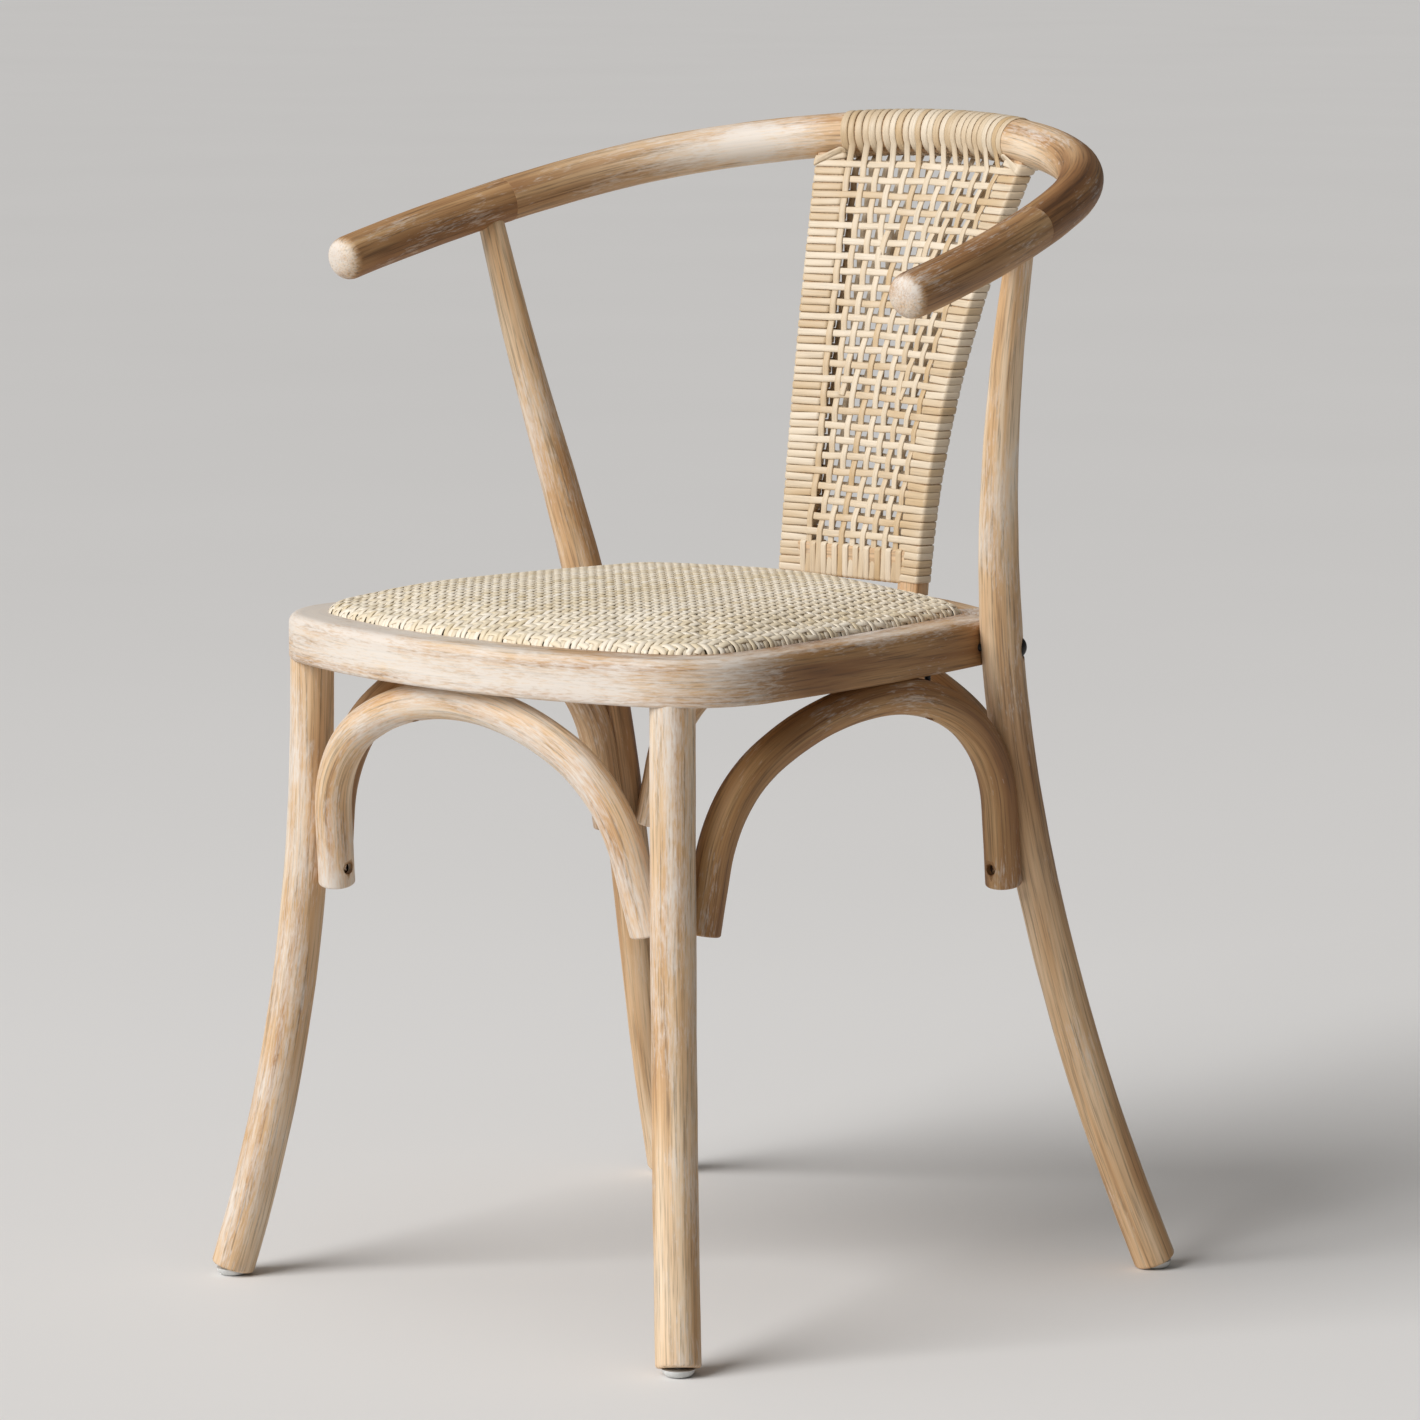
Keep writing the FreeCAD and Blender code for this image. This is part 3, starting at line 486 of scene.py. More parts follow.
bentStock = bentStockTree()
stockSetup = {
    "sides": 40, "step": 6.0, "wobble": 0.8, "wave": 45.0,
    "ends": (2.0, 2.0), "square": 2.0, "offset": (0, 0, 0), "tone": 0.75,
    "roundStops": (0, 0.05, 0.14, 0.3, 0.55, 0.8, 1), "leastStep": 0.02, "leastGirth": 0.4,
    "limeSide": (0, 0, 1), "limeFrom": 0.0, "limeRound": 1.0,       # one and the same all round
}
offsets = random.Random(7)


def woodShift():
    # each bar is cut from another place in the wood
    return tuple(offsets.uniform(0, 9) for _ in range(3))


def stockLike(**changes):
    return dict(stockSetup, offset=woodShift(), **changes)


def runLengths(points):
    # running length at each point of a dense line
    lengths = [0.0]
    for a, b in zip(points, points[1:]):
        lengths.append(lengths[-1] + (b - a).length)
    return lengths


def pickAt(points, lengths, distance):
    i = 0
    while i < len(lengths) - 2 and lengths[i + 1] < distance:
        i += 1
    share = (distance - lengths[i]) / max(lengths[i + 1] - lengths[i], 1e-9)
    return points[i].lerp(points[i + 1], share)


def roundBar(name, setup, points, girthAt, limeAt, paleAt=None):
    # a round bar along a line; its ends are rounded by setup["ends"]
    lengths = runLengths(points)
    total = lengths[-1]
    startRound, endRound = setup["ends"]
    steps = max(int(total / setup["step"]), 2)
    stops = {total * i / steps for i in range(1, steps)}
    for share in setup["roundStops"]:
        stops.add(startRound * share)
        stops.add(total - endRound * share)
    stops = sorted(s for s in stops if 0 <= s <= total)
    kept = [stops[0]]
    for stop in stops[1:]:
        if stop - kept[-1] > setup["leastStep"]:
            kept.append(stop)
    verts, girths, limes, pales = [], [], [], []
    for stop in kept:
        girth = girthAt(stop / total)
        for gap, size in ((stop, startRound), (total - stop, endRound)):
            if size > 0 and gap < size:
                sunk = size * (1 - (1 - (1 - gap / size) ** setup["square"]) ** (1 / setup["square"]))
                girth -= min(sunk, girth - setup["leastGirth"])
        verts.append(pickAt(points, lengths, stop))
        girths.append(girth * mm)
        limes.append(limeAt(stop, total))
        pales.append(paleAt(stop, total) if paleAt else 0.0)
    obj = newObject(name, verts, [(i, i + 1) for i in range(len(verts) - 1)])
    for label, values in (("girth", girths), ("lime", limes), ("pale", pales)):
        setValues(obj.data, label, "FLOAT", values)
    return grow(obj, bentStock, {
        "Sides": setup["sides"], "Wobble": setup["wobble"] * mm, "Wave": 1 / (setup["wave"] * mm),
        "Offset": setup["offset"], "Tone": setup["tone"], "Lime Side": setup["limeSide"],
        "Lime From": setup["limeFrom"], "Lime Round": setup["limeRound"], "Material": oak})


# bars of other sections

sharpAngle = math.radians(38)


def ringBar(name, rings, runs, limeAt, toneAt):
    # an oak bar through rings of (place, section point); runs are the rings' places along the wood
    shift = woodShift()
    spots = [spot for ring in rings for spot, flat in ring]
    stock = [(flat[0] * mm + shift[0], flat[1] * mm + shift[1], run * mm + shift[2])
             for ring, run in zip(rings, runs) for spot, flat in ring]
    obj = newObject(name, spots, (), tubeFaces(len(rings[0]), len(rings)))
    setValues(obj.data, "stock", "FLOAT_VECTOR", stock)
    setValues(obj.data, "lime", "FLOAT", [limeAt(spot) for spot in spots])
    setValues(obj.data, "tone", "FLOAT", [toneAt(spot) for spot in spots])
    obj.data.materials.append(oak)
    obj.data.shade_smooth()
    obj.data.set_sharp_from_angle(angle=sharpAngle)
    return obj


def cutAway(obj, cutters):
    # boolean cuts, then the result is plain mesh
    for cutter in cutters:
        modifier = obj.modifiers.new("cut", "BOOLEAN")
        modifier.operation, modifier.solver, modifier.object = "DIFFERENCE", "EXACT", cutter
    plainMesh(obj)
    for cutter in cutters:
        bpy.data.objects.remove(cutter)
    return obj


def circlePoints(sides):
    turns = [2 * math.pi * step / sides for step in range(sides)]
    return [(math.cos(turn), math.sin(turn)) for turn in turns]


drillSides = 24


def drill(start, heading, radius, length):
    # a round cutter in millimetres
    heading = Vector(heading).normalized()
    side = heading.orthogonal().normalized()
    other = heading.cross(side)
    verts = [Vector(start) + heading * reach + (side * x + other * y) * radius
             for reach in (0, length) for x, y in circlePoints(drillSides)]
    cutter = newObject("cutter", verts, (), tubeFaces(drillSides, 2))
    cutter.data.materials.append(oak)
    return cutter


# seat frame

seatFrame = {
    "top": 459.5, "thick": 31.5, "rim": 28.0, "ledgeWidth": 15.0, "ledgeDepth": 10.0,
    "frontHalf": 210.0, "frontY": -209.0, "frontBow": 50.5,
    "rearHalf": 178.0, "rearY": 110.0, "rearBow": 56.5, "sideBow": 9.0,
    "frontCorner": 75.0, "rearCorner": 45.0, "leastCorner": 8.0,
    "upperRound": 7.0, "lowerRound": 2.5, "arris": 1.0, "railSweep": 28.0, "jointGap": 0.12,
    "faceShares": (0.25, 0.45, 0.62), "rimShares": (0.45, 0.7),         # extra points of the section
    "steps": {"rear": 8, "rearCorner": 14, "side": 44, "frontCorner": 20, "front": 34, "rail": 40},
    # limewash and tone: thin at first, and what top, right side and front add from one place to another; the
    # right side's extra lime and the paler front tone are painted light, on the sides the light falls on
    "lime": 0.04, "topLime": 0.44, "topDepth": 8.0, "litSideLime": 0.25, "rightFade": (120, -120),
    "frontLime": 0.58, "frontFade": (-120, -200),
    "tone": 0.1, "litFrontTone": 0.65, "toneFade": (-120, -210), "railLime": 0.3, "railTone": 0.6,
}
seatBottom = seatFrame["top"] - seatFrame["thick"]


def bowCircle(a, b, bow, bulge):
    half = (b - a).length / 2
    radius = (half ** 2 + bow ** 2) / (2 * bow)
    return (a + b) / 2 + bulge * (bow - radius), radius


frontLeft = Vector((seatFrame["frontHalf"], seatFrame["frontY"], 0))
rearLeft = Vector((seatFrame["rearHalf"], seatFrame["rearY"], 0))
sideOut = (rearLeft - frontLeft).cross(upwards).normalized()
frontLine = bowCircle(mirrored(frontLeft, -1), frontLeft, seatFrame["frontBow"], Vector((0, -1, 0)))
sideLine = bowCircle(frontLeft, rearLeft, seatFrame["sideBow"], sideOut)
rearLine = bowCircle(rearLeft, mirrored(rearLeft, -1), seatFrame["rearBow"], Vector((0, 1, 0)))


def circlesMeet(centreA, radiusA, centreB, radiusB, near):
    span = centreB - centreA
    gap = span.length
    reach = (radiusA ** 2 - radiusB ** 2 + gap ** 2) / (2 * gap)
    across = math.sqrt(radiusA ** 2 - reach ** 2)
    span.normalize()
    foot = centreA + span * reach
    sideways = upwards.cross(span) * across
    return min((foot + sideways, foot - sideways), key=lambda p: (p - near).length)


def arcPoints(centre, start, end, count):
    # points on the arc from start to end about the centre, without the last one
    a, b = start - centre, end - centre
    turnA, turnB = math.atan2(a.y, a.x), math.atan2(b.y, b.x)
    while turnB - turnA > math.pi:
        turnB -= 2 * math.pi
    while turnB - turnA < -math.pi:
        turnB += 2 * math.pi
    return [centre + Vector((math.cos(turn), math.sin(turn), 0)) * a.length
            for turn in spaced(turnA, turnB, count)[:-1]]


def cornerArc(lineA, lineB, inset, radius, near):
    (centreA, radiusA), (centreB, radiusB) = lineA, lineB
    size = max(radius - inset, seatFrame["leastCorner"])
    middle = circlesMeet(centreA, radiusA - inset - size, centreB, radiusB - inset - size, near)
    start = centreA + (middle - centreA).normalized() * (radiusA - inset)
    end = centreB + (middle - centreB).normalized() * (radiusB - inset)
    return middle, start, end


def rearPoint(turn, inset):
    return rearLine[0] + Vector((math.sin(turn), math.cos(turn), 0)) * (rearLine[1] - inset)


def halfOutline(inset, fromTurn):
    # left half: from the rear joint, round the rear corner, the side and the front corner to the middle
    s, steps = seatFrame, seatFrame["steps"]
    frontMiddle, frontStart, frontEnd = cornerArc(frontLine, sideLine, inset, s["frontCorner"], frontLeft)
    rearMiddle, rearStart, rearEnd = cornerArc(sideLine, rearLine, inset, s["rearCorner"], rearLeft)
    begin = rearPoint(fromTurn, inset)
    centreFront = frontLine[0] + Vector((0, -1, 0)) * (frontLine[1] - inset)
    points = arcPoints(rearLine[0], begin, rearEnd, steps["rear"])
    points += arcPoints(rearMiddle, rearEnd, rearStart, steps["rearCorner"])
    points += arcPoints(sideLine[0], rearStart, frontEnd, steps["side"])
    points += arcPoints(frontMiddle, frontEnd, frontStart, steps["frontCorner"])
    points += arcPoints(frontLine[0], frontStart, centreFront, steps["front"])
    return points + [centreFront]


def fullOutline(inset, fromTurn=0.0):
    left = halfOutline(inset, fromTurn)
    return left + [mirrored(p, -1) for p in left[-2::-1]]


def roundedEdge(centreInset, centreZ, size, fromTurn, toTurn, steps):
    # part of the section's outline as (inset, height); degrees
    turns = [math.radians(turn) for turn in spaced(fromTurn, toTurn, steps)]
    return [(centreInset + size * math.cos(turn), centreZ + size * math.sin(turn)) for turn in turns]


def frameSection():
    s = seatFrame
    bottom, top, rim = seatBottom, s["top"], s["rim"]
    ledge = top - s["ledgeDepth"]
    inner = rim + s["ledgeWidth"]
    points = roundedEdge(s["lowerRound"], bottom + s["lowerRound"], s["lowerRound"], 270, 180, 4)
    points += [(0, bottom + s["thick"] * share) for share in s["faceShares"]]
    points += roundedEdge(s["upperRound"], top - s["upperRound"], s["upperRound"], 180, 90, 6)
    points += [(rim * share, top) for share in s["rimShares"]]
    points += roundedEdge(rim - s["arris"], top - s["arris"], s["arris"], 90, 0, 3)
    return points + [(rim, ledge), (inner, ledge), (inner, bottom), (inner * 0.5, bottom)]


frameProfile = frameSection()


def frameBar(name, lines, limeAt, toneAt):
    # a length of the frame; each line belongs to one point of the section
    rings = [[(Vector((line[i].x, line[i].y, height)), (inset, height))
              for line, (inset, height) in zip(lines, frameProfile)] for i in range(len(lines[0]))]
    return ringBar(name, rings, runLengths(lines[0]), limeAt, toneAt)


def hoopLime(spot):
    # white on the top of the rim, more on its lit right side as painted light, and thin on the front face
    s = seatFrame
    rise = ramp(spot.z, s["top"] - s["topDepth"], s["top"])
    right = ramp(spot.x, *s["rightFade"])
    front = ramp(spot.y, *s["frontFade"])
    return s["lime"] + rise * (s["topLime"] + s["litSideLime"] * right) + (1 - rise) * s["frontLime"] * front


def hoopTone(spot):
    # painted light: the front face, which faces the light, is paler wood than the shaded rest
    return seatFrame["tone"] + seatFrame["litFrontTone"] * ramp(spot.y, *seatFrame["toneFade"])


railTurn = math.radians(seatFrame["railSweep"])
jointTurn = railTurn + seatFrame["jointGap"] / rearLine[1]
hoopLines = [fullOutline(inset, jointTurn) for inset, height in frameProfile]
place(frameBar("seatHoop", hoopLines, hoopLime, hoopTone), "limed_wood", "seat_hoop")
backLines = [[rearPoint(turn, inset) for turn in spaced(-railTurn, railTurn, seatFrame["steps"]["rail"])]
             for inset, height in frameProfile]
seatBackRail = frameBar("seatBackRail", backLines,
                        lambda spot: seatFrame["railLime"], lambda spot: seatFrame["railTone"])
place(seatBackRail, "limed_wood", "seat_back_rail")
print("seat frame made")


# legs

frontLeg = {
    "x": 170.0, "y": -208.6, "kickX": 44.0, "kickY": 40.7, "power": 2.2, "radius": 15.0, "foot": 5.0,
    "intoFrame": 8.0, "footRound": 2.2, "tone": 0.9, "steps": 120,
    "lime": 0.4, "limePatches": [(330, 90, 0.12), (90, 70, 0.1)],
    "streakLime": 0.44, "streakMore": 0.18, "streakFrom": 190.0, "streakTo": 310.0,
    # the right leg's limewash is thickest on the side toward the window and thin on its shaded side, a
    # painted light; the left one has a worn streak
    "limed": {"right": {"limeSide": (-0.2, -0.97, 0.1), "limeFrom": -0.3, "limeRound": 0.35},
              "left": {"limeSide": (0.62, -0.78, 0), "limeFrom": 0.94, "limeRound": 0.6}},
}
rearLeg = {
    "heights": [0, 104, 214, 443.75, 578, 650, 722.2],
    "x": [235.6, 217.5, 202.0, 195.5, 217.5, 233.3, 250.26],
    "y": [209.0, 171.6, 139.5, 86.0, 58.0, 46.9, 39.87],
    "radius": 14.5, "topRadius": 9.0, "foot": 5.0, "footRound": 2.2, "tone": 0.9, "steps": 160,
    "lime": 0.12, "limePatches": [(570, 60, 0.34)],
    "palePatches": [(360, 80, -0.7)],               # painted shade: darker under the seat, where the seat shades the leg
}
bolt = {"height": 441.0, "heading": 43.5, "flat": 1.5, "head": 14.0, "clear": 1.0, "cutLong": 20.0}


def frontLegAt(height):
    kick = max(1 - height / seatBottom, 0) ** frontLeg["power"]
    x = frontLeg["x"] + frontLeg["kickX"] * kick
    return Vector((x, frontLeg["y"] - frontLeg["kickY"] * kick, height))


rearX = naturalSpline(rearLeg["heights"], rearLeg["x"])
rearY = naturalSpline(rearLeg["heights"], rearLeg["y"])


def rearLegAt(height):
    return Vector((rearX(height), rearY(height), height))


def frontLime(stop, total):
    return patchy(stop, frontLeg["lime"], frontLeg["limePatches"])


def streakLime(stop, total):
    # stronger on the upper half
    share = ramp(stop, frontLeg["streakFrom"], frontLeg["streakTo"])
    return frontLeg["streakLime"] + frontLeg["streakMore"] * share


def rearLime(stop, total):
    return patchy(stop, rearLeg["lime"], rearLeg["limePatches"])


# painted shade: the rear legs darker under the seat, where its shadow falls
def rearPaintedShade(stop, total):
    return patchy(stop, 0.0, rearLeg["palePatches"])


def postGirth(share):
    height = rearLeg["foot"] + share * (rearLeg["heights"][-1] - rearLeg["foot"])
    taper = max(height - seatFrame["top"], 0) / (rearLeg["heights"][-1] - seatFrame["top"])
    return rearLeg["radius"] + (rearLeg["topRadius"] - rearLeg["radius"]) * taper


legLimes = {"left": streakLime, "right": frontLime}
for sideName, side in sideNames.items():
    heights = spaced(frontLeg["foot"], seatBottom + frontLeg["intoFrame"], frontLeg["steps"])
    line = [mirrored(frontLegAt(h), side) for h in heights]
    # on the right leg the limewash follows the window: painted light on its lit side, browner on its shaded
    # side
    setup = stockLike(ends=(frontLeg["footRound"], 0), tone=frontLeg["tone"], **frontLeg["limed"][sideName])
    leg = roundBar("frontLeg." + sideName, setup, line, lambda share: frontLeg["radius"], legLimes[sideName])
    place(leg, "limed_wood", "front_leg_" + sideName)

    heights = spaced(rearLeg["foot"], rearLeg["heights"][-1], rearLeg["steps"])
    line = [mirrored(rearLegAt(h), side) for h in heights]
    setup = stockLike(ends=(rearLeg["footRound"], 0), tone=rearLeg["tone"])
    leg = roundBar("rearLeg." + sideName, setup, line, postGirth, rearLime, rearPaintedShade)
    # a flat for the bolt head
    turn = math.radians(bolt["heading"])
    inward = Vector((-math.cos(turn) * side, -math.sin(turn), 0))
    seat = mirrored(rearLegAt(bolt["height"]), side) - inward * (rearLeg["radius"] - bolt["flat"])
    cutAway(leg, [drill(seat, -inward, bolt["head"] / 2 + bolt["clear"], bolt["cutLong"])])
    place(leg, "limed_wood", "rear_leg_" + sideName)
print("legs made")


# arm rail

rail = {
    "radius": 15.5, "backY": 246.9, "backHeight": 775.0, "slope": 14.3,
    "arcs": [(270.0, 38.0), (198.0, 32.0), (545.0, 20.5)],      # radius and sweep from the middle of the back
    "postBeforeTip": 124.0, "spliceBehindPost": 16.0, "spliceRound": 0.4, "tipRound": 13.0,
    "tipSquare": 2.4, "backSteps": 400, "armSteps": 80, "tipSteps": 10, "armStep": 5.0,
    # places are from the middle of the back, negative on the right: whitest beside the woven back
    "tone": 0.5, "lime": 0.14, "limePatches": [(-150, 75, 0.5), (120, 40, 0.34)],
    "limed": {"limeSide": (0.6, -0.77, 0.2), "limeFrom": -0.1, "limeRound": 0.3},
    "palePatches": [(-140, 90, 0.4), (120, 50, 0.3)],
    "darkEnds": [(170, 260, 0.4), (-250, -310, 0.3)],           # from, to and how much
    # the turned tips show pale end grain
    "armTone": 0.15, "armLime": 0.16, "tipLime": 0.45, "tipPale": 0.7, "tipFrom": 9.0, "tipTo": 4.0,
}


def railAt(turn):
    # the rail's middle line by its turn in degrees, to the left where it is positive
    x, forward, start = 0.0, 0.0, 0.0
    for radius, sweep in rail["arcs"]:
        a = math.radians(start)
        b = math.radians(min(max(abs(turn), start), start + sweep))
        x += radius * (math.sin(b) - math.sin(a))
        forward += radius * (math.cos(a) - math.cos(b))
        start += sweep
    slope = math.radians(rail["slope"])
    height = rail["backHeight"] - forward * math.sin(slope)
    return Vector((math.copysign(x, turn), rail["backY"] - forward * math.cos(slope), height))


armRadius = rail["arcs"][-1][0]
tipTurn = sum(sweep for radius, sweep in rail["arcs"])
spliceTurn = tipTurn - math.degrees((rail["postBeforeTip"] + rail["spliceBehindPost"]) / armRadius)


def railGirth(share):
    return rail["radius"]


def railLime(stop, total):
    return patchy(stop - total / 2, rail["lime"], rail["limePatches"])


def railPale(stop, total):
    gap = stop - total / 2
    dark = sum(amount * ramp(gap, start, end) for start, end, amount in rail["darkEnds"])
    return patchy(gap, 0.0, rail["palePatches"]) - dark


def armLime(stop, total):
    return rail["armLime"] + rail["tipLime"] * ramp(total - stop, rail["tipFrom"], rail["tipTo"])


def armPale(stop, total):
    return rail["tipPale"] * ramp(total - stop, rail["tipFrom"], rail["tipTo"])


line = [railAt(turn) for turn in spaced(-spliceTurn, spliceTurn, rail["backSteps"])]
setup = stockLike(ends=(rail["spliceRound"], rail["spliceRound"]), tone=rail["tone"], **rail["limed"])
place(roundBar("armRailBack", setup, line, railGirth, railLime, railPale), "limed_wood", "arm_rail_back")
for sideName, side in sideNames.items():
    line = [railAt(side * turn) for turn in spaced(spliceTurn, tipTurn, rail["armSteps"])]
    heading = (line[-1] - line[-2]).normalized()
    line += [line[-1] + heading * reach for reach in spaced(0, rail["radius"], rail["tipSteps"])[1:]]
    setup = stockLike(ends=(rail["spliceRound"], rail["tipRound"]), square=rail["tipSquare"],
                      tone=rail["armTone"], step=rail["armStep"])
    arm = roundBar("arm." + sideName, setup, line, railGirth, armLime, armPale)
    place(arm, "limed_wood", "arm_rail_" + sideName)
print("arm rail made")


# braces

brace = {
    "radius": 12.5, "footHeight": 276.0, "crownBite": 2.0, "legBite": 0.8, "shoulder": 95.0,
    "crownSweep": 30.0, "splay": 8.5, "frontLean": 28.0, "setBack": 5.0, "rearLean": 14.0,
    "sideLean": 9.0, "sideShift": 20.0, "rearHeading": 20.0, "footSteps": 12, "archSteps": 90,
    "screwUp": 12.0, "wellRadius": 4.0, "wellLong": 30.0, "recess": 4.0, "crownSpread": 38.0,
    "sides": 36, "step": 5.0, "endRound": 1.6,
    # white at the feet and a little along the crown: (width, amount)
    "lime": 0.08, "footLime": (14, 0.14), "crownLime": (110, 0.1),
    # partly the braces' own tone and lime, partly painted light and shade: the front brace, which faces the
    # light, is paler and whiter, the left one, in shade, darkest and bare, the others between
    "tones": {"front": 1.0, "rear": 0.6, "left": 0.1, "right": 0.4},
    "limeAndLitWhite": {"front": 0.32, "rear": 0.04, "left": 0.0, "right": 0.06},
}


class Arch:
    # an arch over two splayed feet; its crown leans and may stand nearer one foot
    def __init__(self, footA, footB, lean, shift=0.0):
        self.along = (footB - footA).normalized()
        base = (footA + footB) / 2 + self.along * shift
        self.crown = base + lean
        self.crown.z = seatBottom - brace["radius"] + brace["crownBite"]
        self.rise = (self.crown - base).normalized()
        self.height = (self.crown - base).length
        self.half = {-1: (base - footA).length, 1: (footB - base).length}
        self.turn = math.radians(brace["crownSweep"])
        self.last = math.pi / 2 - math.radians(brace["splay"])

    def crownRadius(self, side):
        wide = brace["shoulder"] * (math.sin(self.last) - math.sin(self.turn))
        deep = brace["shoulder"] * (math.cos(self.turn) - math.cos(self.last))
        slope = math.tan(math.pi / 2 - self.last)
        clear = self.half[side] - wide - slope * (self.height - deep)
        return clear / (math.sin(self.turn) - slope * (1 - math.cos(self.turn)))

    def at(self, side, angle):
        turn = min(angle, self.turn)
        radius = self.crownRadius(side)
        out, down = radius * math.sin(turn), radius * (1 - math.cos(turn))
        if angle > self.turn:
            out += brace["shoulder"] * (math.sin(angle) - math.sin(turn))
            down += brace["shoulder"] * (math.cos(turn) - math.cos(angle))
        return self.crown + self.along * (out * side) - self.rise * down

    def foot(self, side):
        return self.crown + self.along * (self.half[side] * side) - self.rise * self.height

    def line(self):
        halves = []
        for side in (-1, 1):
            foot, knee = self.foot(side), self.at(side, self.last)
            half = [foot.lerp(knee, share) for share in spaced(0, 1, brace["footSteps"])[:-1]]
            half += [self.at(side, turn) for turn in spaced(self.last, 0, brace["archSteps"])[:-1]]
            halves.append(half)
        return halves[0] + [self.crown] + halves[1][::-1]

    def wells(self):
        # where the sunk screws start, and their headings: foot and crown in turn
        out = []
        sunk = brace["radius"] - brace["recess"]
        for side in (1, -1):
            foot = self.foot(side)
            climb = (self.at(side, self.last) - foot).normalized()
            heading = self.along * side
            out.append((foot + climb * brace["screwUp"] - heading * sunk, heading))
            spot = self.at(side, math.asin(brace["crownSpread"] / self.crownRadius(side)))
            out.append((spot - upwards * sunk, upwards))
        return out


frontFoot = frontLegAt(brace["footHeight"])
rearFoot = rearLegAt(brace["footHeight"])
inFront = frontLeg["radius"] + brace["radius"] - brace["legBite"]
inRear = rearLeg["radius"] + brace["radius"] - brace["legBite"]
footF = frontFoot + Vector((-inFront, brace["setBack"], 0))
footR = rearFoot + Vector((-inRear, 0, 0))
arches = {
    "front": Arch(mirrored(footF, -1), footF, Vector((0, -brace["frontLean"], 0))),
    "rear": Arch(mirrored(footR, -1), footR, Vector((0, brace["rearLean"], 0))),
}
rearTurn = math.radians(brace["rearHeading"])
for sideName, side in sideNames.items():
    footA = mirrored(frontFoot + Vector((0, inFront, 0)), side)
    footB = mirrored(rearFoot - Vector((math.sin(rearTurn), math.cos(rearTurn), 0)) * inRear, side)
    arches[sideName] = Arch(footA, footB, Vector((brace["sideLean"] * side, 0, 0)), brace["sideShift"])


def braceLime(stop, total):
    (footWide, footMost), (crownWide, crownMost) = brace["footLime"], brace["crownLime"]
    return patchy(min(stop, total - stop), brace["lime"], [
        (0, footWide, footMost), (total / 2, crownWide, crownMost)])


for archName, arch in arches.items():
    setup = stockLike(ends=(brace["endRound"], brace["endRound"]), tone=brace["tones"][archName],
                      sides=brace["sides"], step=brace["step"])
    # this extra lime is partly real limewash and partly painted light on the brace that faces the light
    more = brace["limeAndLitWhite"][archName]
    bent = roundBar("brace." + archName, setup, arch.line(), lambda share: brace["radius"],
                    lambda stop, total: more + braceLime(stop, total))
    cutAway(bent, [drill(start - heading * brace["wellLong"], heading, brace["wellRadius"], brace["wellLong"])
                   for start, heading in arch.wells()])
    place(bent, "limed_wood", "brace_" + archName)
print("braces made")


# sunk screws

screw = {
    "headRadius": 4.0, "headHeight": 3.5, "headBevel": 0.3,
    "radius": 2.0, "pointLong": 3.0, "pointRadius": 0.4,
    "slotLong": 4.6, "slotWide": 1.1, "slotDeep": 1.4, "sides": 20, "seed": 3,
    "boardX": 95.0, "boardInset": 37.0,
    "footLong": 34.0, "crownLong": 38.0, "boardLong": 26.0,
}


def block(low, high):
    corners = [(x, y, z) for z in (low[2], high[2]) for y in (low[1], high[1]) for x in (low[0], high[0])]
    faces = [(0, 2, 3, 1), (4, 5, 7, 6), (0, 1, 5, 4), (2, 6, 7, 3), (0, 4, 6, 2), (1, 3, 7, 5)]
    return newObject("block", corners, (), faces)


def screwShape(length):
    # countersunk head at the start, shank towards +Z, a cross cut into the head
    s = screw
    rings = [(s["headRadius"] - s["headBevel"], 0), (s["headRadius"], s["headBevel"]),
             (s["radius"], s["headHeight"]), (s["radius"], length - s["pointLong"]),
             (s["pointRadius"], length)]
    verts = [(radius * x, radius * y, height)
             for radius, height in rings for x, y in circlePoints(s["sides"])]
    obj = newObject("screwShape", verts, (), tubeFaces(s["sides"], len(rings)))
    reach, wide, deep = s["slotLong"] / 2, s["slotWide"] / 2, s["slotDeep"]
    return cutAway(obj, [block((-reach, -wide, -1), (reach, wide, deep)),
                         block((-wide, -reach, -1), (wide, reach, deep))])


def sunkScrewsTree():
    tree, given = newTree("sunkScrews", [
        ("Screw", "NodeSocketObject"), ("Seed", "NodeSocketInt"), ("Material", "NodeSocketMaterial")])
    shape = addNode(tree, "GeometryNodeObjectInfo", None, {"Object": given["Screw"], "As Instance": True})
    heading = addNode(tree, "GeometryNodeInputNamedAttribute", vectorField, {"Name": "heading"})
    aim = addNode(tree, "FunctionNodeAlignRotationToVector", {"axis": "Z"}, {"Vector": heading.outputs[0]})
    row = addNode(tree, "GeometryNodeInstanceOnPoints", None, {
        "Points": given["Geometry"], "Instance": shape.outputs["Geometry"], "Rotation": aim.outputs[0]})
    spin = addNode(tree, "FunctionNodeRandomValue", vectorField, {
        0: (0, 0, 0), 1: (0, 0, math.pi), "Seed": given["Seed"]})
    turned = addNode(tree, "GeometryNodeRotateInstances", None, {
        "Instances": row.outputs[0], "Rotation": spin.outputs[0], "Local Space": True})
    endTree(tree, turned.outputs[0], given["Material"], smooth=False)
    return tree


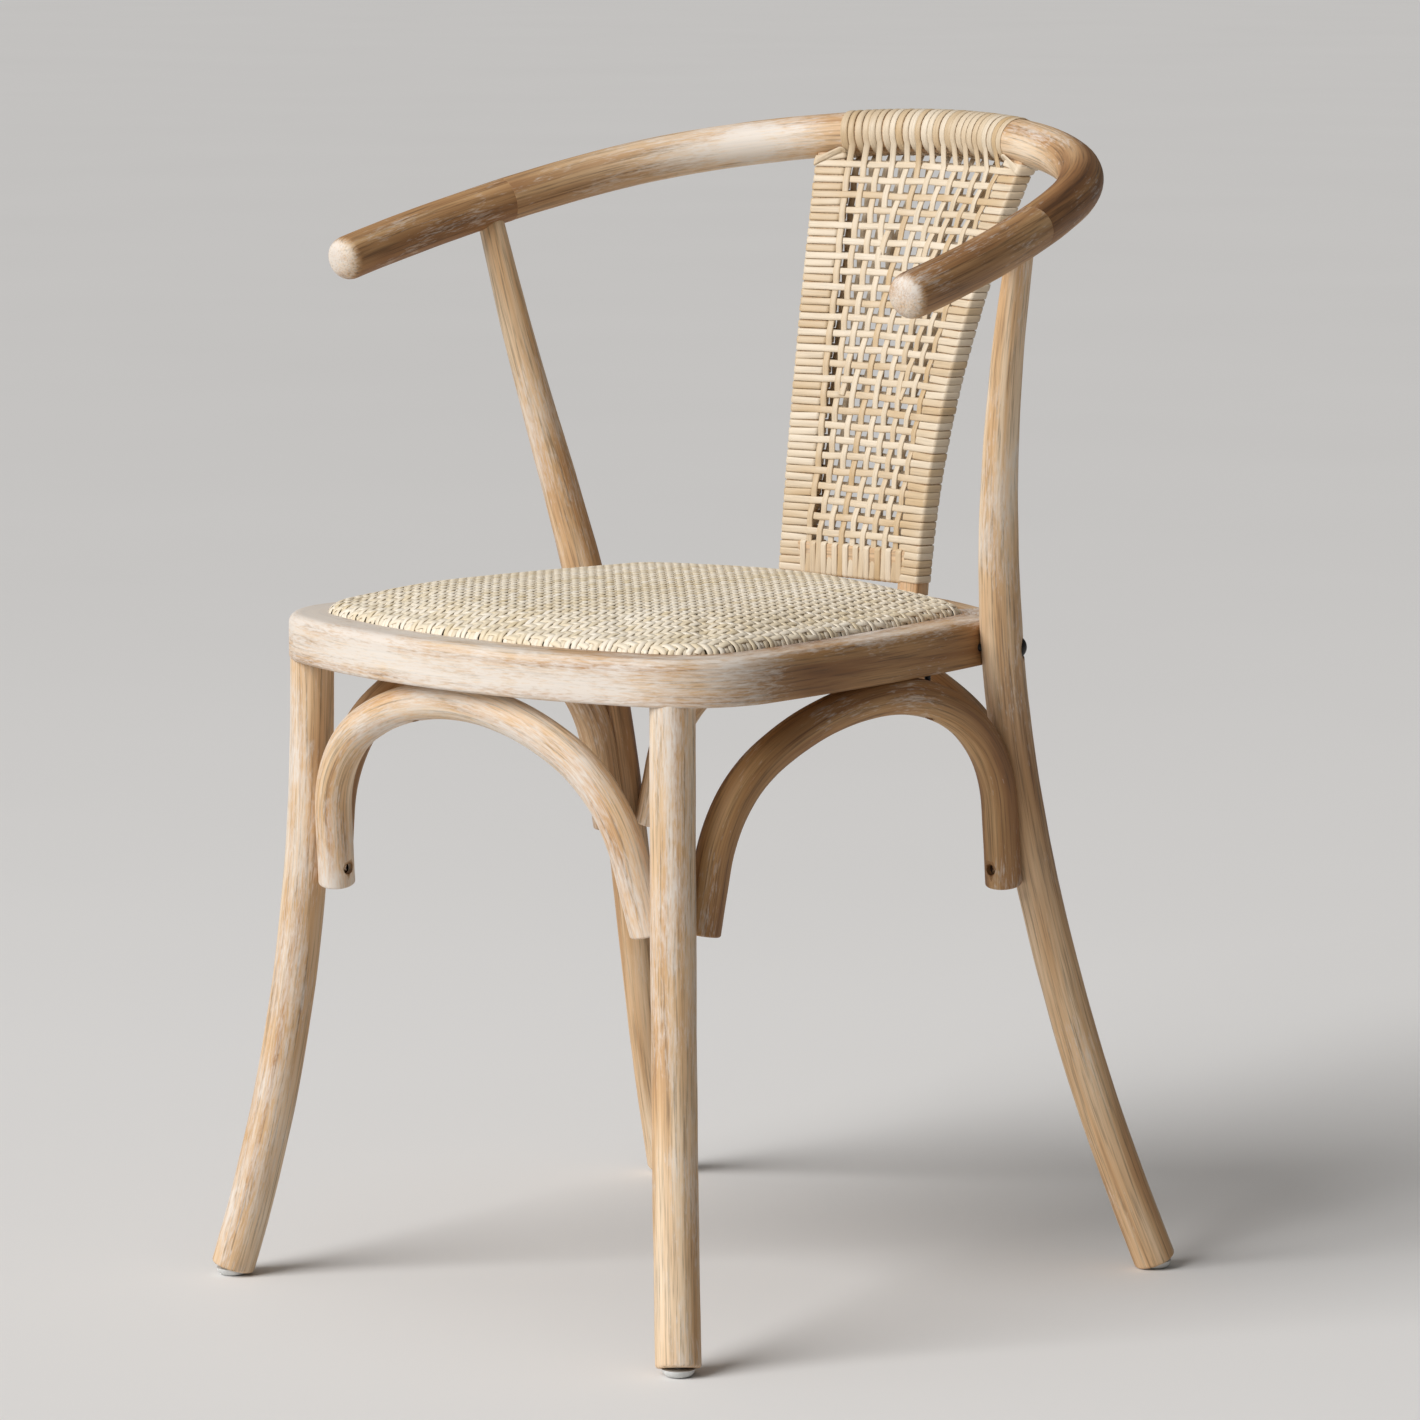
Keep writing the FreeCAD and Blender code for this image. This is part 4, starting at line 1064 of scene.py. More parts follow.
sunkScrews = sunkScrewsTree()
footWells = [well for arch in arches.values() for well in arch.wells()[0::2]]
crownWells = [well for arch in arches.values() for well in arch.wells()[1::2]]
boardWells = []
for side in sideNames.values():
    for (centre, radius), way in ((frontLine, -1), (rearLine, 1)):
        y = centre.y + way * math.sqrt((radius - screw["boardInset"]) ** 2 - screw["boardX"] ** 2)
        boardWells.append((Vector((screw["boardX"] * side, y, seatBottom)), upwards))
screwRows = {
    # piece: (starts and headings, length, node)
    "braceFootScrews": (footWells, screw["footLong"], "brace_leg_screws"),
    "braceCrownScrews": (crownWells, screw["crownLong"], "brace_seat_screws"),
    "boardScrews": (boardWells, screw["boardLong"], "seat_board_screws"),
}
for rowName, (wells, length, node) in screwRows.items():
    shape = screwShape(length)
    row = newObject(rowName, [start for start, heading in wells])
    setValues(row.data, "heading", "FLOAT_VECTOR", [heading for start, heading in wells])
    grow(row, sunkScrews, {"Screw": shape, "Seed": screw["seed"], "Material": blackSteel})
    bpy.data.objects.remove(shape)
    place(row, "steel_screw", node)
print("screws made")


# stiles and crosspiece

stile = {
    "width": 22.0, "depth": 12.0, "corner": 1.6, "footX": 55.0, "footY": 153.0, "lean": 26.0,
    "hollow": 44.0, "flare": 30.0, "footTurn": 11.0, "topTurn": 19.0, "topZ": 746.5, "endZ": 764.0,
    "steps": 30, "tone": 0.6, "lime": 0.15,
}
crosspiece = {
    "low": 467.5, "high": 489.5, "depth": 11.0, "corner": 1.6, "tenon": 6.0, "steps": 16,
    "wrapCorner": 2.2, "wrapStrip": 5.25, "wrapEnd": 9.4,
}


def stileShare(height):
    return (height - seatFrame["top"]) / (stile["topZ"] - seatFrame["top"])


def stileAt(height):
    share = stileShare(height)
    return Vector((stile["footX"] + stile["flare"] * share ** 2,
                   stile["footY"] + stile["lean"] * share + stile["hollow"] * share ** 2, height))


def stileTurn(height):
    return math.radians(stile["footTurn"] + (stile["topTurn"] - stile["footTurn"]) * stileShare(height))


def stilePoint(height, side, wide, deep):
    # a point beside the stile: wide is outwards from the middle of the chair, deep is backwards
    turn = stileTurn(height)
    spot = stileAt(height) + Vector((math.cos(turn), -math.sin(turn), 0)) * wide
    return mirrored(spot + Vector((math.sin(turn), math.cos(turn), 0)) * deep, side)


def roundedBox(wide, deep, corner, steps=4):
    # the outline of a bar's section, with its outward directions
    out = []
    for signX, signY, first in ((1, -1, -90), (1, 1, 0), (-1, 1, 90), (-1, -1, 180)):
        for angle in spaced(first, first + 90, steps):
            way = (math.cos(math.radians(angle)), math.sin(math.radians(angle)))
            out.append(((signX * (wide / 2 - corner) + corner * way[0],
                         signY * (deep / 2 - corner) + corner * way[1]), way))
    return out


def flatBar(name, rings, runs):
    return ringBar(name, rings, runs, lambda spot: stile["lime"], lambda spot: stile["tone"])


stileSection = [spot for spot, way in roundedBox(stile["width"], stile["depth"], stile["corner"])]
for sideName, side in sideNames.items():
    heights = spaced(seatFrame["top"], stile["endZ"], stile["steps"])
    rings = [[(stilePoint(h, side, *flat), flat) for flat in stileSection] for h in heights]
    if side < 0:
        rings = [ring[::-1] for ring in rings]      # keeps the faces outwards
    place(flatBar("backStile." + sideName, rings, heights), "limed_wood", "back_stile_" + sideName)

crossMiddle = (crosspiece["low"] + crosspiece["high"]) / 2
crossHigh = crosspiece["high"] - crosspiece["low"]
crossY = stileAt(crossMiddle).y
crossHalf = stileAt(crossMiddle).x - stile["width"] / 2 * math.cos(math.radians(stile["footTurn"]))
reachX = crossHalf + crosspiece["tenon"]
stops = spaced(-reachX, reachX, crosspiece["steps"])
crossSection = [spot for spot, way in roundedBox(crosspiece["depth"], crossHigh, crosspiece["corner"])]
rings = [[(Vector((x, crossY + flat[0], crossMiddle + flat[1])), flat) for flat in crossSection]
         for x in stops]
place(flatBar("backCrosspiece", rings, stops), "limed_wood", "back_crosspiece")
print("stiles and crosspiece made")


# woven back: strips round the stiles, over the rail and under the crosspiece

weave = {
    "rows": 25, "firstRow": 497.0, "pitch": 10.6, "rowJitter": 0.3,
    "strip": 5.05, "thick": 1.2, "lift": 0.7, "steps": 4,
    "counts": (9, 11, 13),                          # strands at the foot, in the middle and at the top
    "layouts": [(0, 9), (560, 9), (645, 11), (655, 11), (740, 13), (900, 13)],     # strands by height
    "joins": {11: (2, 8), 13: (4, 8)},              # where strands are added
    "joinFrom": 0.62, "joinShow": 0.3,              # how far beside its place one starts, and how late
    "edgeGap": 3.2, "tuck": 1.0, "flatBelow": 485.0, "flatOver": 60.0,
    # how far hand weaving leaves the true lines, with its waves as length and phase
    "hand": 0.45, "strandWave": (17, 2.1), "rowWave": (13, 1.7),
    # flat behind, a little crowned in front, with rounded edges
    "section": [(-1, -0.05), (-0.88, 0.3), (-0.5, 0.45), (0, 0.5), (0.5, 0.45), (0.88, 0.3), (1, -0.05),
                (0.92, -0.5), (-0.92, -0.5)],
    "apart": 37.0,                                  # keeps the strips' patterns different
    "lowWraps": 5, "wrapHeight": 0.15, "wrapTilt": 0.4, "wrapProud": 0.3,
    "shoulder": [(4.6, 1.6, 0.4), (5.8, 4.0, 0.8), (7.4, 6.4, 1.2)],    # last wraps: up, tilt and out
    # over the rail: from and to in degrees, and steps
    "hoopFrom": 748.0, "strandHoop": (-14, 194, 16), "wrapHoop": (-90, 255, 23),
    "hoopStrip": 5.7, "hoopJitter": 0.4, "hoopEnd": 10.8,
}
halfDeep = (stile["depth"] + weave["thick"]) / 2
halfWide = (stile["width"] + weave["thick"]) / 2
fewStrands, moreStrands, strandCount = weave["counts"]
strips = random.Random(23)


def sagAt(height):
    # how far the middle of the panel stands behind its edges
    fade = ramp(height, weave["flatBelow"], weave["flatBelow"] + weave["flatOver"])
    return math.tan(stileTurn(height)) * stileAt(height).x / 2 * eased(fade)


def panelAt(x, height):
    middle = stileAt(height)
    return middle.y + sagAt(height) * (1 - (x / middle.x) ** 2)


def facePoint(x, height, layer, rise, sway=0.0):
    # a strip's point on the front (-1) or the back (1) of the panel, and the way that it faces
    slopeX = panelAt(x + 0.5, height) - panelAt(x - 0.5, height)
    slopeZ = panelAt(x, height + 0.5) - panelAt(x, height - 0.5)
    level = Vector((slopeX, -1, 0)).normalized()
    spot = Vector((x, panelAt(x, height), height + sway)) - level * layer * (halfDeep + rise)
    return spot, Vector((slopeX, -1, slopeZ)).normalized() * -layer


def strandRanks():
    # each strand's rank in the three layouts, none where it isn't there yet
    joins = weave["joins"]
    ranks = []
    for top in range(strandCount):
        middle, low = None, None
        if top not in joins[strandCount]:
            middle = top - sum(j < top for j in joins[strandCount])
        if middle is not None and middle not in joins[moreStrands]:
            low = middle - sum(j < middle for j in joins[moreStrands])
        ranks.append({strandCount: top, moreStrands: middle, fewStrands: low})
    return ranks


strandRank = strandRanks()


def layoutAt(height):
    # the counts of strands below and above, and how far up between them
    stops = weave["layouts"]
    i = bisect.bisect([z for z, count in stops], height) - 1
    (lowZ, low), (highZ, high) = stops[i], stops[i + 1]
    return low, high, (height - lowZ) / (highZ - lowZ)


def strandThere(strand, height):
    low, high, share = layoutAt(height)
    rank = strandRank[strand]
    begun = low == high or rank[low] is not None or share > weave["joinShow"]
    return rank[high] is not None and begun


def strandX(strand, height):
    low, high, share = layoutAt(height)
    rank = strandRank[strand]
    last = rank[high] / (high - 1)
    first = (rank[high] - weave["joinFrom"]) / (high - 1) if rank[low] is None else rank[low] / (low - 1)
    spread = first + (last - first) * eased(share)
    edge = stileAt(height).x - halfWide * math.cos(stileTurn(height)) - weave["edgeGap"]
    length, phase = weave["strandWave"]
    return edge * (2 * spread - 1) + weave["hand"] * math.sin(height / length + strand * phase)


def overSign(strand, row, height, layer):
    # 1 where the upright strand lies over the row
    low, high, share = layoutAt(height)
    rank = strandRank[strand][low if share < 0.5 else high]
    rank = strandRank[strand][high] if rank is None else rank
    return 1 if (rank + row + (layer > 0)) % 2 else -1


def riseBetween(signA, signB, share):
    # from over to under in a soft wave
    return (signA + (signB - signA) * (1 - math.cos(math.pi * share)) / 2) * weave["lift"]


rowJitter = weave["rowJitter"]
rowHeights = [weave["firstRow"] + weave["pitch"] * row + strips.uniform(-rowJitter, rowJitter)
              for row in range(weave["rows"])]


class StripLines:
    # lines for strips: each point with the way that it faces, each line with a tone
    def __init__(self):
        self.verts, self.edges, self.outs, self.tones = [], [], [], []

    def add(self, pairs, closed, start=0):
        # a closed line starts where its ends meet out of sight
        first, count = len(self.verts), len(pairs)
        pairs = pairs[start:] + pairs[:start]
        self.verts += [point for point, out in pairs]
        self.outs += [out for point, out in pairs]
        self.tones += [strips.uniform(0.0, 1.0)] * count
        self.edges += [(first + i, first + i + 1) for i in range(count - 1)]
        if closed:
            self.edges.append((first + count - 1, first))

    def make(self, name, setup, width, tree, values, layers=()):
        # the section's points are shares of half the width and of the thickness
        obj = newObject(name, self.verts, self.edges)
        setValues(obj.data, "faceOut", "FLOAT_VECTOR", self.outs)
        for label, amounts in (("tone", self.tones),) + tuple(layers):
            setValues(obj.data, label, "FLOAT", amounts)
        spots = [(setup["thick"] * rise, share * width / 2, 0) for share, rise in setup["section"]]
        profile = newObject("stripProfile", spots, [(i, (i + 1) % len(spots)) for i in range(len(spots))])
        grow(obj, tree, dict(values, Profile=profile))
        bpy.data.objects.remove(profile)
        return obj


def rattanStripTree():
    tree, given = newTree("rattanStrip", [
        ("Profile", "NodeSocketObject"), ("Material", "NodeSocketMaterial")])
    at = {name: addNode(tree, "GeometryNodeInputNamedAttribute", field, {"Name": name}).outputs[0]
          for name, field in (("faceOut", vectorField), ("across", vectorField), ("along", floatField),
                              ("tone", floatField))}
    line = addNode(tree, "GeometryNodeMeshToCurve", None, {"Mesh": given["Geometry"]})
    turned = addNode(tree, "GeometryNodeSetCurveNormal", {"mode": "FREE"}, {
        "Curve": line.outputs[0], "Normal": at["faceOut"]})
    spline = addNode(tree, "GeometryNodeSplineParameter")
    along = addNode(tree, "GeometryNodeStoreNamedAttribute", floatPoints, {
        "Geometry": turned.outputs[0], "Name": "along", "Value": spline.outputs["Length"]})
    shape = addNode(tree, "GeometryNodeObjectInfo", None, {"Object": given["Profile"]})
    ring = addNode(tree, "GeometryNodeMeshToCurve", None, {"Mesh": shape.outputs["Geometry"]})
    spot = addNode(tree, "GeometryNodeInputPosition")
    across = addNode(tree, "GeometryNodeStoreNamedAttribute", vectorPoints, {
        "Geometry": ring.outputs[0], "Name": "across", "Value": spot.outputs[0]})
    ribbon = addNode(tree, "GeometryNodeCurveToMesh", None, {
        "Curve": along.outputs[0], "Profile Curve": across.outputs[0], "Fill Caps": True})
    # strip coordinates: across it, through it and along it, each strip in a place of its own
    split = addNode(tree, "ShaderNodeSeparateXYZ", None, {0: at["across"]})
    shifted = addNode(tree, "ShaderNodeMath", timesPlus, {
        0: at["tone"], 1: weave["apart"], 2: split.outputs[1]})
    strip = addNode(tree, "ShaderNodeCombineXYZ", None, {
        0: shifted.outputs[0], 1: split.outputs[0], 2: at["along"]})
    stored = addNode(tree, "GeometryNodeStoreNamedAttribute", vectorPoints, {
        "Geometry": ribbon.outputs[0], "Name": "strip", "Value": strip.outputs[0]})
    endTree(tree, stored.outputs[0], given["Material"])
    return tree


rattanStrip = rattanStripTree()


def weavePiece(lines, name, width, *replaced):
    piece = lines.make(name, weave, width, rattanStrip, {"Material": backRattan})
    return place(piece, "rattan_strip", *replaced)


def rowPoints(row, layer):
    # one row across the panel, from the right stile to the left
    height = rowHeights[row]
    present = [s for s in range(strandCount) if strandThere(s, height)]
    spots = [(strandX(s, height), -overSign(s, row, height, layer)) for s in present]
    edge = stileAt(height).x - stile["width"] / 2 * math.cos(stileTurn(height)) + weave["tuck"]
    spots = [(-edge, 0)] + spots + [(edge, 0)]
    length, phase = weave["rowWave"]
    pairs = []
    for (xA, signA), (xB, signB) in zip(spots, spots[1:]):
        for share in spaced(0, 1, weave["steps"])[:-1]:
            x = xA + (xB - xA) * share
            sway = weave["hand"] * math.sin(x / length + row * phase) * (1 - (x / edge) ** 4)
            pairs.append(facePoint(x, height, layer, riseBetween(signA, signB, share), sway))
    return pairs


def roundStile(height, side, wholeWay, tilt=0.0, proud=0.0):
    # round a stile from front to back over its outer side, or the whole way; tilt lifts the inner edge
    section = roundedBox(2 * (halfWide + proud), 2 * (halfDeep + proud),
                         stile["corner"] + weave["thick"] / 2 + proud)
    base = stilePoint(height, side, 0, 0)
    lean = stilePoint(height + 0.5, side, 0, 0) - stilePoint(height - 0.5, side, 0, 0)
    pairs = []
    for (wide, deep), way in section if wholeWay else section[:len(section) // 2]:
        out = stilePoint(height, side, *way) - base
        out = Vector((out.x, out.y, -out.x * lean.x - out.y * lean.y)).normalized()
        pairs.append((stilePoint(height - tilt * wide / halfWide, side, wide, deep), out))
    return pairs


def overRail(pairs, proud):
    # points that would be inside the rail lie on it instead
    reach = rail["radius"] + weave["thick"] / 2 + proud
    moved = []
    for point, out in pairs:
        axis = railAt(math.degrees(math.asin(point.x / rail["arcs"][0][0])))
        gap = point - axis
        if gap.length < reach:
            out = gap.normalized()
            point = axis + out * reach
        moved.append((point, out))
    return moved


rowLines = StripLines()
for row in range(weave["rows"]):
    left, right = [roundStile(rowHeights[row], side, False) for side in (1, -1)]
    rowLines.add(rowPoints(row, -1) + left + rowPoints(row, 1)[::-1] + right[::-1], True, -2)
weavePiece(rowLines, "weaveRows", weave["strip"], "back_weave")

for sideName, side in sideNames.items():
    wrapLines = StripLines()
    heights = [(a + b) / 2 for a, b in zip(rowHeights, rowHeights[1:])]
    heights += [rowHeights[0] - weave["pitch"] / 2 * i for i in range(1, weave["lowWraps"] + 1)]
    for height in heights:
        laid = height + strips.uniform(-weave["wrapHeight"], weave["wrapHeight"])
        tilt = strips.uniform(-weave["wrapTilt"], weave["wrapTilt"])
        wrapLines.add(roundStile(laid, side, True, tilt, strips.uniform(0.0, weave["wrapProud"])), True, 2)
    for lift, tilt, proud in weave["shoulder"]:
        wrap = roundStile(rowHeights[-1] + lift, side, True, tilt, proud)
        wrapLines.add(overRail(wrap, proud), True, 2)
    weavePiece(wrapLines, "stileWrap." + sideName, weave["strip"], "stile_wrap_" + sideName)


def railRing(x, fromTurn, toTurn, steps):
    # round the rail at x: 0 is the front, 90 the top, 180 the back
    swing = math.asin(x / rail["arcs"][0][0])
    slope = math.radians(rail["slope"])
    axis = railAt(math.degrees(swing))
    back = math.cos(swing)
    outward = Vector((math.sin(swing), back * math.cos(slope), back * math.sin(slope)))
    lift = Vector((0, -math.sin(slope), math.cos(slope)))
    pairs = []
    for angle in spaced(fromTurn, toTurn, steps):
        turn = math.radians(angle)
        out = outward * -math.cos(turn) + lift * math.sin(turn)
        pairs.append((axis + out * (rail["radius"] + weave["thick"] / 2), out))
    return pairs


def crossRing(x):
    # round the crosspiece at x
    section = roundedBox(crosspiece["depth"] + weave["thick"], crossHigh + weave["thick"],
                         crosspiece["wrapCorner"])
    return [(Vector((x, crossY + spot[0], crossMiddle + spot[1])), Vector((0, way[0], way[1])))
            for spot, way in section]


def strandSide(strand, layer):
    # one strand up one face of the panel
    last = weave["rows"] - 1
    pairs = []
    for row in range(weave["rows"]):
        here, after = rowHeights[row], rowHeights[min(row + 1, last)]
        if not strandThere(strand, here):
            continue
        signA = overSign(strand, row, here, layer)
        signB = overSign(strand, min(row + 1, last), after, layer)
        for share in spaced(0, 1, weave["steps"])[:-1] if row < last else [0]:
            height = here + (after - here) * share
            pairs.append(facePoint(strandX(strand, height), height, layer, riseBetween(signA, signB, share)))
    return pairs


strandLines = StripLines()
for strand in range(strandCount):
    over = railRing(strandX(strand, weave["hoopFrom"]), *weave["strandHoop"])
    pairs = strandSide(strand, -1) + over + strandSide(strand, 1)[::-1]
    if strandRank[strand][fewStrands] is None:
        strandLines.add(pairs, False)
    else:
        ring = crossRing(strandX(strand, crossMiddle))
        under = ring[15:] + ring[:5]                # front corner to back corner below
        strandLines.add(pairs + under[::-1], True, -3)
weavePiece(strandLines, "weaveStrands", weave["strip"])


def between(places, margin):
    # the middles of the gaps, and one more at each end
    stops = [places[0] - margin] + places + [places[-1] + margin]
    return [(a + b) / 2 for a, b in zip(stops, stops[1:])]


railWrapLines = StripLines()
hoopX = [strandX(strand, weave["hoopFrom"]) for strand in range(strandCount)]
for x in between(hoopX, weave["hoopEnd"]):
    jitter = strips.uniform(-weave["hoopJitter"], weave["hoopJitter"])
    railWrapLines.add(railRing(x + jitter, *weave["wrapHoop"]), True)
weavePiece(railWrapLines, "railWrap", weave["hoopStrip"], "rail_wrap")

crossLines = StripLines()
crossX = [strandX(s, crossMiddle) for s in range(strandCount) if strandRank[s][fewStrands] is not None]
for x in between(crossX, crosspiece["wrapEnd"]):
    crossLines.add(crossRing(x), True)
weavePiece(crossLines, "crosspieceWrap", crosspiece["wrapStrip"], "crosspiece_wrap")
print("woven back made")


# seat pad

pad = {
    "gap": 1.3, "low": 457.7, "crown": 19.5, "squareness": 2.5, "middleY": -50.0,
    "ringTurns": range(0, 88, 6),                   # degrees up the dome
    "voxel": 5.0, "heldBelow": 2.0, "pressure": 4.0, "frames": 20, "most": 3.0, "fill": 0.85,
}


def domeHeight(share):
    # 0 in the middle of the pad, 1 at its edge
    return pad["low"] + pad["crown"] * (1 - share ** pad["squareness"]) ** (1 / pad["squareness"])


def padMesh():
    # a closed dome over the recess
    outline = fullOutline(seatFrame["rim"] + pad["gap"])[:-1]
    middle = Vector((0, pad["middleY"], 0))
    size = len(outline)
    shares = [math.cos(math.radians(angle)) ** (2 / pad["squareness"]) for angle in pad["ringTurns"]]
    verts = []
    for share in shares:
        for spot in outline:
            flat = middle + (spot - middle) * share
            verts.append((flat.x, flat.y, domeHeight(share)))
    verts.append((0, pad["middleY"], domeHeight(0)))
    last = (len(shares) - 1) * size
    faces = tubeFaces(size, len(shares))[:-1]
    faces += [(last + i, last + (i + 1) % size, len(verts) - 1) for i in range(size)]
    return newObject("seatPad", verts, (), faces)


def fixedNormals(obj):
    mesh = bmesh.new()
    mesh.from_mesh(obj.data)
    bmesh.ops.remove_doubles(mesh, verts=mesh.verts, dist=1e-6)
    bmesh.ops.recalc_face_normals(mesh, faces=mesh.faces)
    mesh.to_mesh(obj.data)
    mesh.free()


seatPad = padMesh()
fixedNormals(seatPad)
remesh = seatPad.modifiers.new("remesh", "REMESH")
remesh.mode, remesh.voxel_size = "VOXEL", pad["voxel"] * mm
plainMesh(seatPad)
start = [v.co.copy() for v in seatPad.data.vertices]
heldTop = (pad["low"] + pad["heldBelow"]) * mm
held = seatPad.vertex_groups.new(name="held")
held.add([v.index for v in seatPad.data.vertices if v.co.z < heldTop], 1.0, "REPLACE")
cloth = seatPad.modifiers.new("cloth", "CLOTH")
cloth.settings.use_pressure = True
cloth.settings.uniform_pressure_force = pad["pressure"]
cloth.settings.vertex_group_mass = "held"
cloth.settings.effector_weights.gravity = 0
cloth.point_cache.frame_start, cloth.point_cache.frame_end = 1, pad["frames"]
for step in range(1, pad["frames"] + 1):
    scene.frame_set(step)
plainMesh(seatPad)
# the pad may swell only so far
for vertex, before in zip(seatPad.data.vertices, start):
    move = vertex.co - before
    if move.length > pad["most"] * mm:
        vertex.co = before + move.normalized() * pad["most"] * mm
scene.frame_set(1)
smooth = seatPad.modifiers.new("smooth", "SUBSURF")
smooth.levels = smooth.render_levels = 1
plainMesh(seatPad)
seatPad.data.materials.clear()
seatPad.data.materials.append(scrim)
seatPad.data.shade_smooth()
place(seatPad, "rattan_cover", "seat_foam", "seat_cover")
print("seat pad made")


# seat cover

twill = {
    "pitch": 4.2, "strip": 4.15, "thick": 0.9, "lift": 0.5, "base": 0.75, "edge": 0.6,
    # few points, because there are many strands
    "section": [(-1, -0.1), (-0.9, 0.4), (0, 0.5), (0.9, 0.4), (1, -0.1), (0, -0.5)],
    "hand": 0.3, "handWave": (16, 2.4),             # sway, with its wave's length and phase
    "margin": 1.2, "endStops": (0.0, 0.4, 1.3), "endFree": 2.4,
    "flatTop": 1.5,                                 # above 1 the strands lie flatter between crossings
    "grip": (0.90, 0.97), "nudge": 0.15,            # between these shares they leave the pad for the dome
    "rayFrom": 0.2, "rayLong": 0.5,                 # metres
}


def twillStrandsTree():
    tree, given = newTree("twillStrands", [
        ("Pad", "NodeSocketObject"), ("Profile", "NodeSocketObject"), ("Base", "NodeSocketFloat"),
        ("Lift", "NodeSocketFloat"), ("Material", "NodeSocketMaterial")])
    at = {name: addNode(tree, "GeometryNodeInputNamedAttribute", field, {"Name": name}).outputs[0]
          for name, field in (("over", floatField), ("grip", floatField), ("faceOut", vectorField))}
    target = addNode(tree, "GeometryNodeObjectInfo", None, {"Object": given["Pad"]})
    here = addNode(tree, "GeometryNodeInputPosition")
    above = addNode(tree, "ShaderNodeVectorMath", plus, {0: here.outputs[0], 1: (0, 0, twill["rayFrom"])})
    ray = addNode(tree, "GeometryNodeRaycast", None, {
        "Target Geometry": target.outputs["Geometry"], "Source Position": above.outputs[0],
        "Ray Direction": (0, 0, -1), "Ray Length": twill["rayLong"]})
    rise = addNode(tree, "ShaderNodeMath", timesPlus, {0: at["over"], 1: given["Lift"], 2: given["Base"]})
    push = addNode(tree, "ShaderNodeVectorMath", scaled, {
        0: ray.outputs["Hit Normal"], "Scale": rise.outputs[0]})
    spot = addNode(tree, "ShaderNodeVectorMath", plus, {0: ray.outputs["Hit Position"], 1: push.outputs[0]})
    # at the edge the strands keep the line of the recess
    face = addNode(tree, "ShaderNodeMix", {"data_type": "VECTOR"}, {
        0: at["grip"], 4: at["faceOut"], 5: ray.outputs["Hit Normal"]})
    blend = addNode(tree, "ShaderNodeMix", {"data_type": "VECTOR"}, {
        0: at["grip"], 4: here.outputs[0], 5: spot.outputs[0]})
    laid = addNode(tree, "GeometryNodeSetPosition", None, {
        "Geometry": given["Geometry"], "Selection": ray.outputs["Is Hit"], "Position": blend.outputs[1]})
    faced = addNode(tree, "GeometryNodeStoreNamedAttribute", vectorPoints, {
        "Geometry": laid.outputs[0], "Name": "faceOut", "Value": face.outputs[1]})
    strip = addNode(tree, "GeometryNodeGroup", {"node_tree": rattanStrip}, {
        "Geometry": faced.outputs[0], "Profile": given["Profile"], "Material": given["Material"]})
    addNode(tree, "NodeGroupOutput", None, {0: strip.outputs[0]})
    return tree


twillStrands = twillStrandsTree()
coverEdge = fullOutline(seatFrame["rim"] + twill["edge"])[:-1]
coverTurns = sorted((math.atan2(p.y - pad["middleY"], p.x), math.hypot(p.x, p.y - pad["middleY"]))
                    for p in coverEdge)
coverTurns = ([(t - 2 * math.pi, r) for t, r in coverTurns[-2:]] + coverTurns
              + [(t + 2 * math.pi, r) for t, r in coverTurns[:2]])


def coverShare(x, y):
    # 0 in the middle of the pad, 1 at its edge
    turn = math.atan2(y - pad["middleY"], x)
    i = bisect.bisect([t for t, r in coverTurns], turn)
    (turnA, reachA), (turnB, reachB) = coverTurns[i - 1], coverTurns[i]
    reach = reachA + (reachB - reachA) * (turn - turnA) / (turnB - turnA)
    return math.hypot(x, y - pad["middleY"]) / reach


def coverHeight(x, y):
    return domeHeight(min(coverShare(x, y), 1.0))


def crossings(axis, level):
    # where a strand at this level enters and leaves the cover
    hits = []
    for a, b in zip(coverEdge, coverEdge[1:] + coverEdge[:1]):
        u, v = a[1 - axis], b[1 - axis]
        if (u > level) != (v > level):
            hits.append(a[axis] + (b[axis] - a[axis]) * (level - u) / (v - u))
    return min(hits), max(hits)


def strandStops(first, last):
    # every half pitch, and closer at the ends
    half, free = twill["pitch"] / 2, twill["endFree"]
    stops = [i * half for i in range(int(first // half) + 1, int(last // half) + 1)]
    inner = [s for s in stops if first + free < s < last - free]
    ends = twill["endStops"]
    return [first + gap for gap in ends] + inner + [last - gap for gap in ends[::-1]]


